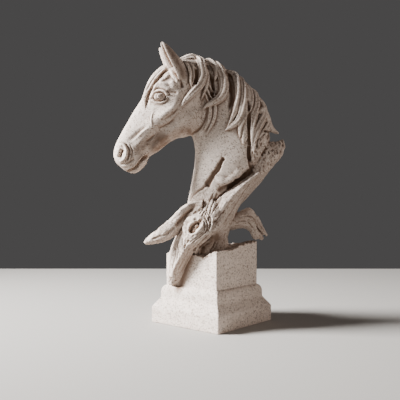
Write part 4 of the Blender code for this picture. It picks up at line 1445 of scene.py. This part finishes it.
def recess_share(skin: Skin) -> np.ndarray:
    """How deep each point lies below the smoothed skin.

    The skin is relaxed many times; where it then lies outside, the point is in a hollow.

    Args:
        skin: the skin.

    Returns:
        Depth at each point, from 0 to 1.
    """
    normals = skin.normals()
    relaxed = skin.points
    shares = np.zeros(len(skin.points))
    for rounds, depth in RECESS_PASSES:
        for _ in range(rounds):
            relaxed = relaxed + 0.6 * (skin.mean_of_neighbours(relaxed) - relaxed)
        sunk = ((relaxed - skin.points) * normals).sum(axis=1)
        shares = np.maximum(shares, np.clip(sunk / depth, 0.0, 1.0))
    return skin.mean_of_neighbours(shares)


def linear(code: str) -> tuple[float, float, float, float]:
    """Turns an sRGB hex colour into linear RGBA.

    Args:
        code: the colour, such as "#d8cdc1".

    Returns:
        Its four shares, the last one 1.
    """
    shares = [int(code[k:k + 2], 16) / 255.0 for k in (1, 3, 5)]
    values = [s / 12.92 if s <= 0.04045 else ((s + 0.055) / 1.055) ** 2.4 for s in shares]
    return (*values, 1.0)


def add_node(tree: bpy.types.NodeTree, kind: str, inputs: dict[object, object] | None = None,
             **settings: object) -> bpy.types.Node:
    """Adds a node with its settings, values and links.

    Args:
        tree: node tree that takes it.
        kind: Blender's name of the node type.
        inputs: socket to a value, or to a pair (node, name of its output).
        settings: properties of the node.

    Returns:
        The node.
    """
    made = tree.nodes.new(kind)
    for name, value in settings.items():
        setattr(made, name, value)
    for socket, value in (inputs or {}).items():
        if isinstance(value, tuple) and len(value) == 2 and isinstance(value[1], str):
            tree.links.new(value[0].outputs[value[1]], made.inputs[socket])
        else:
            made.inputs[socket].default_value = value
    return made


@dataclass(frozen=True)
class SandstoneResin:
    """Polyester resin filled with stone powder and coloured grit, cast and left unpolished.

    The powder makes it matt and chalky, with no clear highlight.  Grit of darker and paler
    stone shows as specks, and a thin brown wash stays in the hollows.
    """

    stone: str = "#dacbbf"
    pale_grit: str = "#f0e8e0"
    dark_grit: str = "#6b5748"
    # brown of the wash in the hollows, also the colour of the painted shade
    wash: str = "#6c5341"
    grain_mm: float = 0.96          # cell of the specks, about a pixel of the photograph
    bump_mm: float = 0.768          # cell of the bump
    bump_strength: float = 0.35
    bump_height_mm: float = 0.25
    mottle_mm: float = 11.0
    roughness: float = 0.9
    ior: float = 1.5
    # from and to of each mask: value of the pattern, then share of the colour
    dark_range: tuple[float, ...] = (0.05, 0.24, 0.8, 0.0)
    pale_range: tuple[float, ...] = (0.8, 1.0, 0.0, 0.7)
    mottle_range: tuple[float, ...] = (0.3, 0.7, 0.0, 0.16)

    def material(self) -> bpy.types.Material:
        """Builds the shader.

        A cell pattern gives each grain a value: the lowest are dark grit, the highest pale.
        Broad noise mottles the stone, an attribute lays the wash and the painted shade over
        all, and fine noise tilts the surface slightly.

        Returns:
            The material.
        """
        made = bpy.data.materials.new("sandstone_resin")
        made.use_nodes = True
        tree = made.node_tree
        tree.nodes.clear()
        place = add_node(tree, "ShaderNodeTexCoord")
        grains = add_node(tree, "ShaderNodeTexVoronoi",
                          {"Vector": (place, "Object"), "Scale": 1.0 / (self.grain_mm * MM)},
                          feature="F1")
        fine = add_node(tree, "ShaderNodeTexNoise",
                        {"Vector": (place, "Object"), "Scale": 1.0 / (self.bump_mm * MM),
                         "Detail": 2.0, "Roughness": 0.6})
        mottle = add_node(tree, "ShaderNodeTexNoise",
                          {"Vector": (place, "Object"), "Scale": 1.0 / (self.mottle_mm * MM),
                           "Detail": 4.0, "Roughness": 0.6})
        value = add_node(tree, "ShaderNodeSeparateColor", {"Color": (grains, "Color")})
        colour = linear(self.stone)
        for source, limits, tint in (((mottle, "Fac"), self.mottle_range, self.wash),
                                     ((value, "Red"), self.pale_range, self.pale_grit),
                                     ((value, "Red"), self.dark_range, self.dark_grit)):
            sockets = dict(zip(("From Min", "From Max", "To Min", "To Max"), limits))
            mask = add_node(tree, "ShaderNodeMapRange", {"Value": source, **sockets})
            mix = add_node(tree, "ShaderNodeMix",
                           {0: (mask, "Result"), 6: colour, 7: linear(tint)}, data_type="RGBA")
            colour = (mix, "Result")
        recess = add_node(tree, "ShaderNodeAttribute", attribute_name="recess")
        # the wash and the painted shade, mixed in by the attribute
        washed = add_node(tree, "ShaderNodeMix",
                          {0: (recess, "Fac"), 6: colour, 7: linear(self.wash)},
                          data_type="RGBA")
        bump = add_node(tree, "ShaderNodeBump",
                        {"Height": (fine, "Fac"), "Strength": self.bump_strength,
                         "Distance": self.bump_height_mm * MM})
        shader = add_node(tree, "ShaderNodeBsdfPrincipled",
                          {"Base Color": (washed, "Result"), "Normal": (bump, "Normal"),
                           "Roughness": self.roughness, "IOR": self.ior})
        add_node(tree, "ShaderNodeOutputMaterial", {"Surface": (shader, "BSDF")})
        return made


def finished_piece(name: str, surface: Surface, recess: np.ndarray,
                   material: bpy.types.Material, most: int | None = None) -> bpy.types.Object:
    """Turns a surface in mm into a shown piece in metres, with its wash and painted shade.

    Args:
        name: name of the piece.
        surface: its closed surface in the part's frame.
        recess: share of wash and of painted shade at each point.
        material: its finish.
        most: most triangles, thinned where the surface is flattest.

    Returns:
        The piece, at the origin.
    """
    mesh = Surface(surface.points * MM, surface.quads, surface.triangles).mesh(name)
    share = mesh.attributes.new("recess", "FLOAT", "POINT")
    share.data.foreach_set("value", recess.astype(np.float32))
    piece = bpy.data.objects.new(name, mesh)
    bpy.context.scene.collection.objects.link(piece)
    count = 2 * len(surface.quads) + len(surface.triangles)
    if most and count > most:
        thin = piece.modifiers.new("Thin", "DECIMATE")
        thin.ratio = most / count
        graph = bpy.context.evaluated_depsgraph_get()
        thinned = bpy.data.meshes.new_from_object(piece.evaluated_get(graph))
        piece.modifiers.clear()
        piece.data = thinned
        bpy.data.meshes.remove(mesh)
        thinned.name = name
    piece.data.materials.clear()
    piece.data.materials.append(material)
    piece.data.shade_smooth()
    LOG.info("%s: %d faces", name, len(piece.data.polygons))
    return piece


@dataclass
class Studio:
    """Pale floor, soft light from the upper left and a camera at the photograph's angle."""

    lens: float = 54.0
    sensor: float = 36.0
    camera_place: tuple[float, float, float] = (0.4117, -0.5002, 0.1375)
    camera_tilt: float = math.radians(89.4)
    # direction to each light in the profile frame, its watts and its side in metres
    key_towards: tuple[float, float, float] = (-0.90, -0.04, 0.43)
    key_power: float = 22.5
    key_size: float = 0.42
    fill_towards: tuple[float, float, float] = (0.95, -0.26, 0.18)
    fill_power: float = 2.0
    fill_size: float = 1.4
    fill_colour: tuple[float, float, float] = (1.0, 0.83, 0.73)
    light_distance: float = 1.2     # from the point that the lights look at, in metres
    lit_height: float = 0.16        # height of that point
    spread: float = math.radians(84.0)
    floor: str = "#aaa6a1"
    floor_roughness: float = 0.9
    floor_reach: float = 3.0        # to the sides and towards the camera, in metres
    floor_behind: float = 0.45      # to the far edge
    air: str = "#4c4b4b"

    def light(self, name: str, towards: tuple[float, float, float], power: float, size: float,
              colour: tuple[float, float, float] = (1.0, 1.0, 1.0)) -> None:
        """Adds an area light that faces the figure.

        Args:
            name: name of the light.
            towards: direction from the figure to the light, in the profile frame.
            power: watts.
            size: side of the square, in metres.
            colour: linear colour of the light.
        """
        aim = Vector(on_plinth(np.array([towards]))[0]).normalized()
        data = bpy.data.lights.new(name, "AREA")
        data.energy, data.size, data.color, data.spread = power, size, colour, self.spread
        lamp = bpy.data.objects.new(name, data)
        lamp.location = Vector((0.0, 0.0, self.lit_height)) + aim * self.light_distance
        lamp.rotation_euler = aim.to_track_quat("Z", "Y").to_euler()
        bpy.context.scene.collection.objects.link(lamp)

    def build(self) -> None:
        """Builds the floor, the lights, the air and the camera."""
        wide, far = self.floor_reach, self.floor_behind
        tile = on_plinth(np.array([[-wide, -wide, 0.0], [wide, -wide, 0.0], [wide, far, 0.0],
                                   [-wide, far, 0.0]]))
        flat = Surface(tile, np.array([[0, 1, 2, 3]]), np.zeros((0, 3), int)).mesh("floor")
        paper = bpy.data.materials.new("floor")
        paper.use_nodes = True
        shader = paper.node_tree.nodes["Principled BSDF"]
        shader.inputs["Base Color"].default_value = linear(self.floor)
        shader.inputs["Roughness"].default_value = self.floor_roughness
        flat.materials.append(paper)
        floor = bpy.data.objects.new("floor", flat)
        bpy.context.scene.collection.objects.link(floor)
        self.light("key", self.key_towards, self.key_power, self.key_size)
        self.light("fill", self.fill_towards, self.fill_power, self.fill_size, self.fill_colour)
        world = bpy.data.worlds.new("air")
        world.use_nodes = True
        world.node_tree.nodes["Background"].inputs["Color"].default_value = linear(self.air)
        world.node_tree.nodes["Background"].inputs["Strength"].default_value = 1.0
        bpy.context.scene.world = world
        data = bpy.data.cameras.new("camera")
        data.lens, data.sensor_width = self.lens, self.sensor
        camera = bpy.data.objects.new("camera", data)
        camera.location = self.camera_place
        camera.rotation_euler = (self.camera_tilt, 0.0, FIGURE_TURN)
        bpy.context.scene.collection.objects.link(camera)
        bpy.context.scene.camera = camera


def main() -> None:
    """Builds the cast and the studio."""
    logging.basicConfig(level=logging.INFO)
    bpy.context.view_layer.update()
    stone = SandstoneResin().material()
    skin = Figure().carved()
    LOG.info("skin: %d points", len(skin.points))
    # wash in the hollows and the carving, with the painted shade that skin.wash holds
    recess = np.clip(np.maximum(recess_share(skin), skin.wash), 0.0, 1.0)
    skin.points = on_plinth(skin.points)
    horse = finished_piece("figure", skin.surface(), recess, stone, MOST_TRIANGLES)
    plinth_form = Plinth()
    block = plinth_form.surface()
    plinth = finished_piece("plinth", block, plinth_form.stain_and_painted_shadow(block.points), stone)
    for piece in (horse, plinth):
        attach(piece, "root")
    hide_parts("horse_head_ornament")
    Studio().build()


if __name__ == "__main__":
    main()
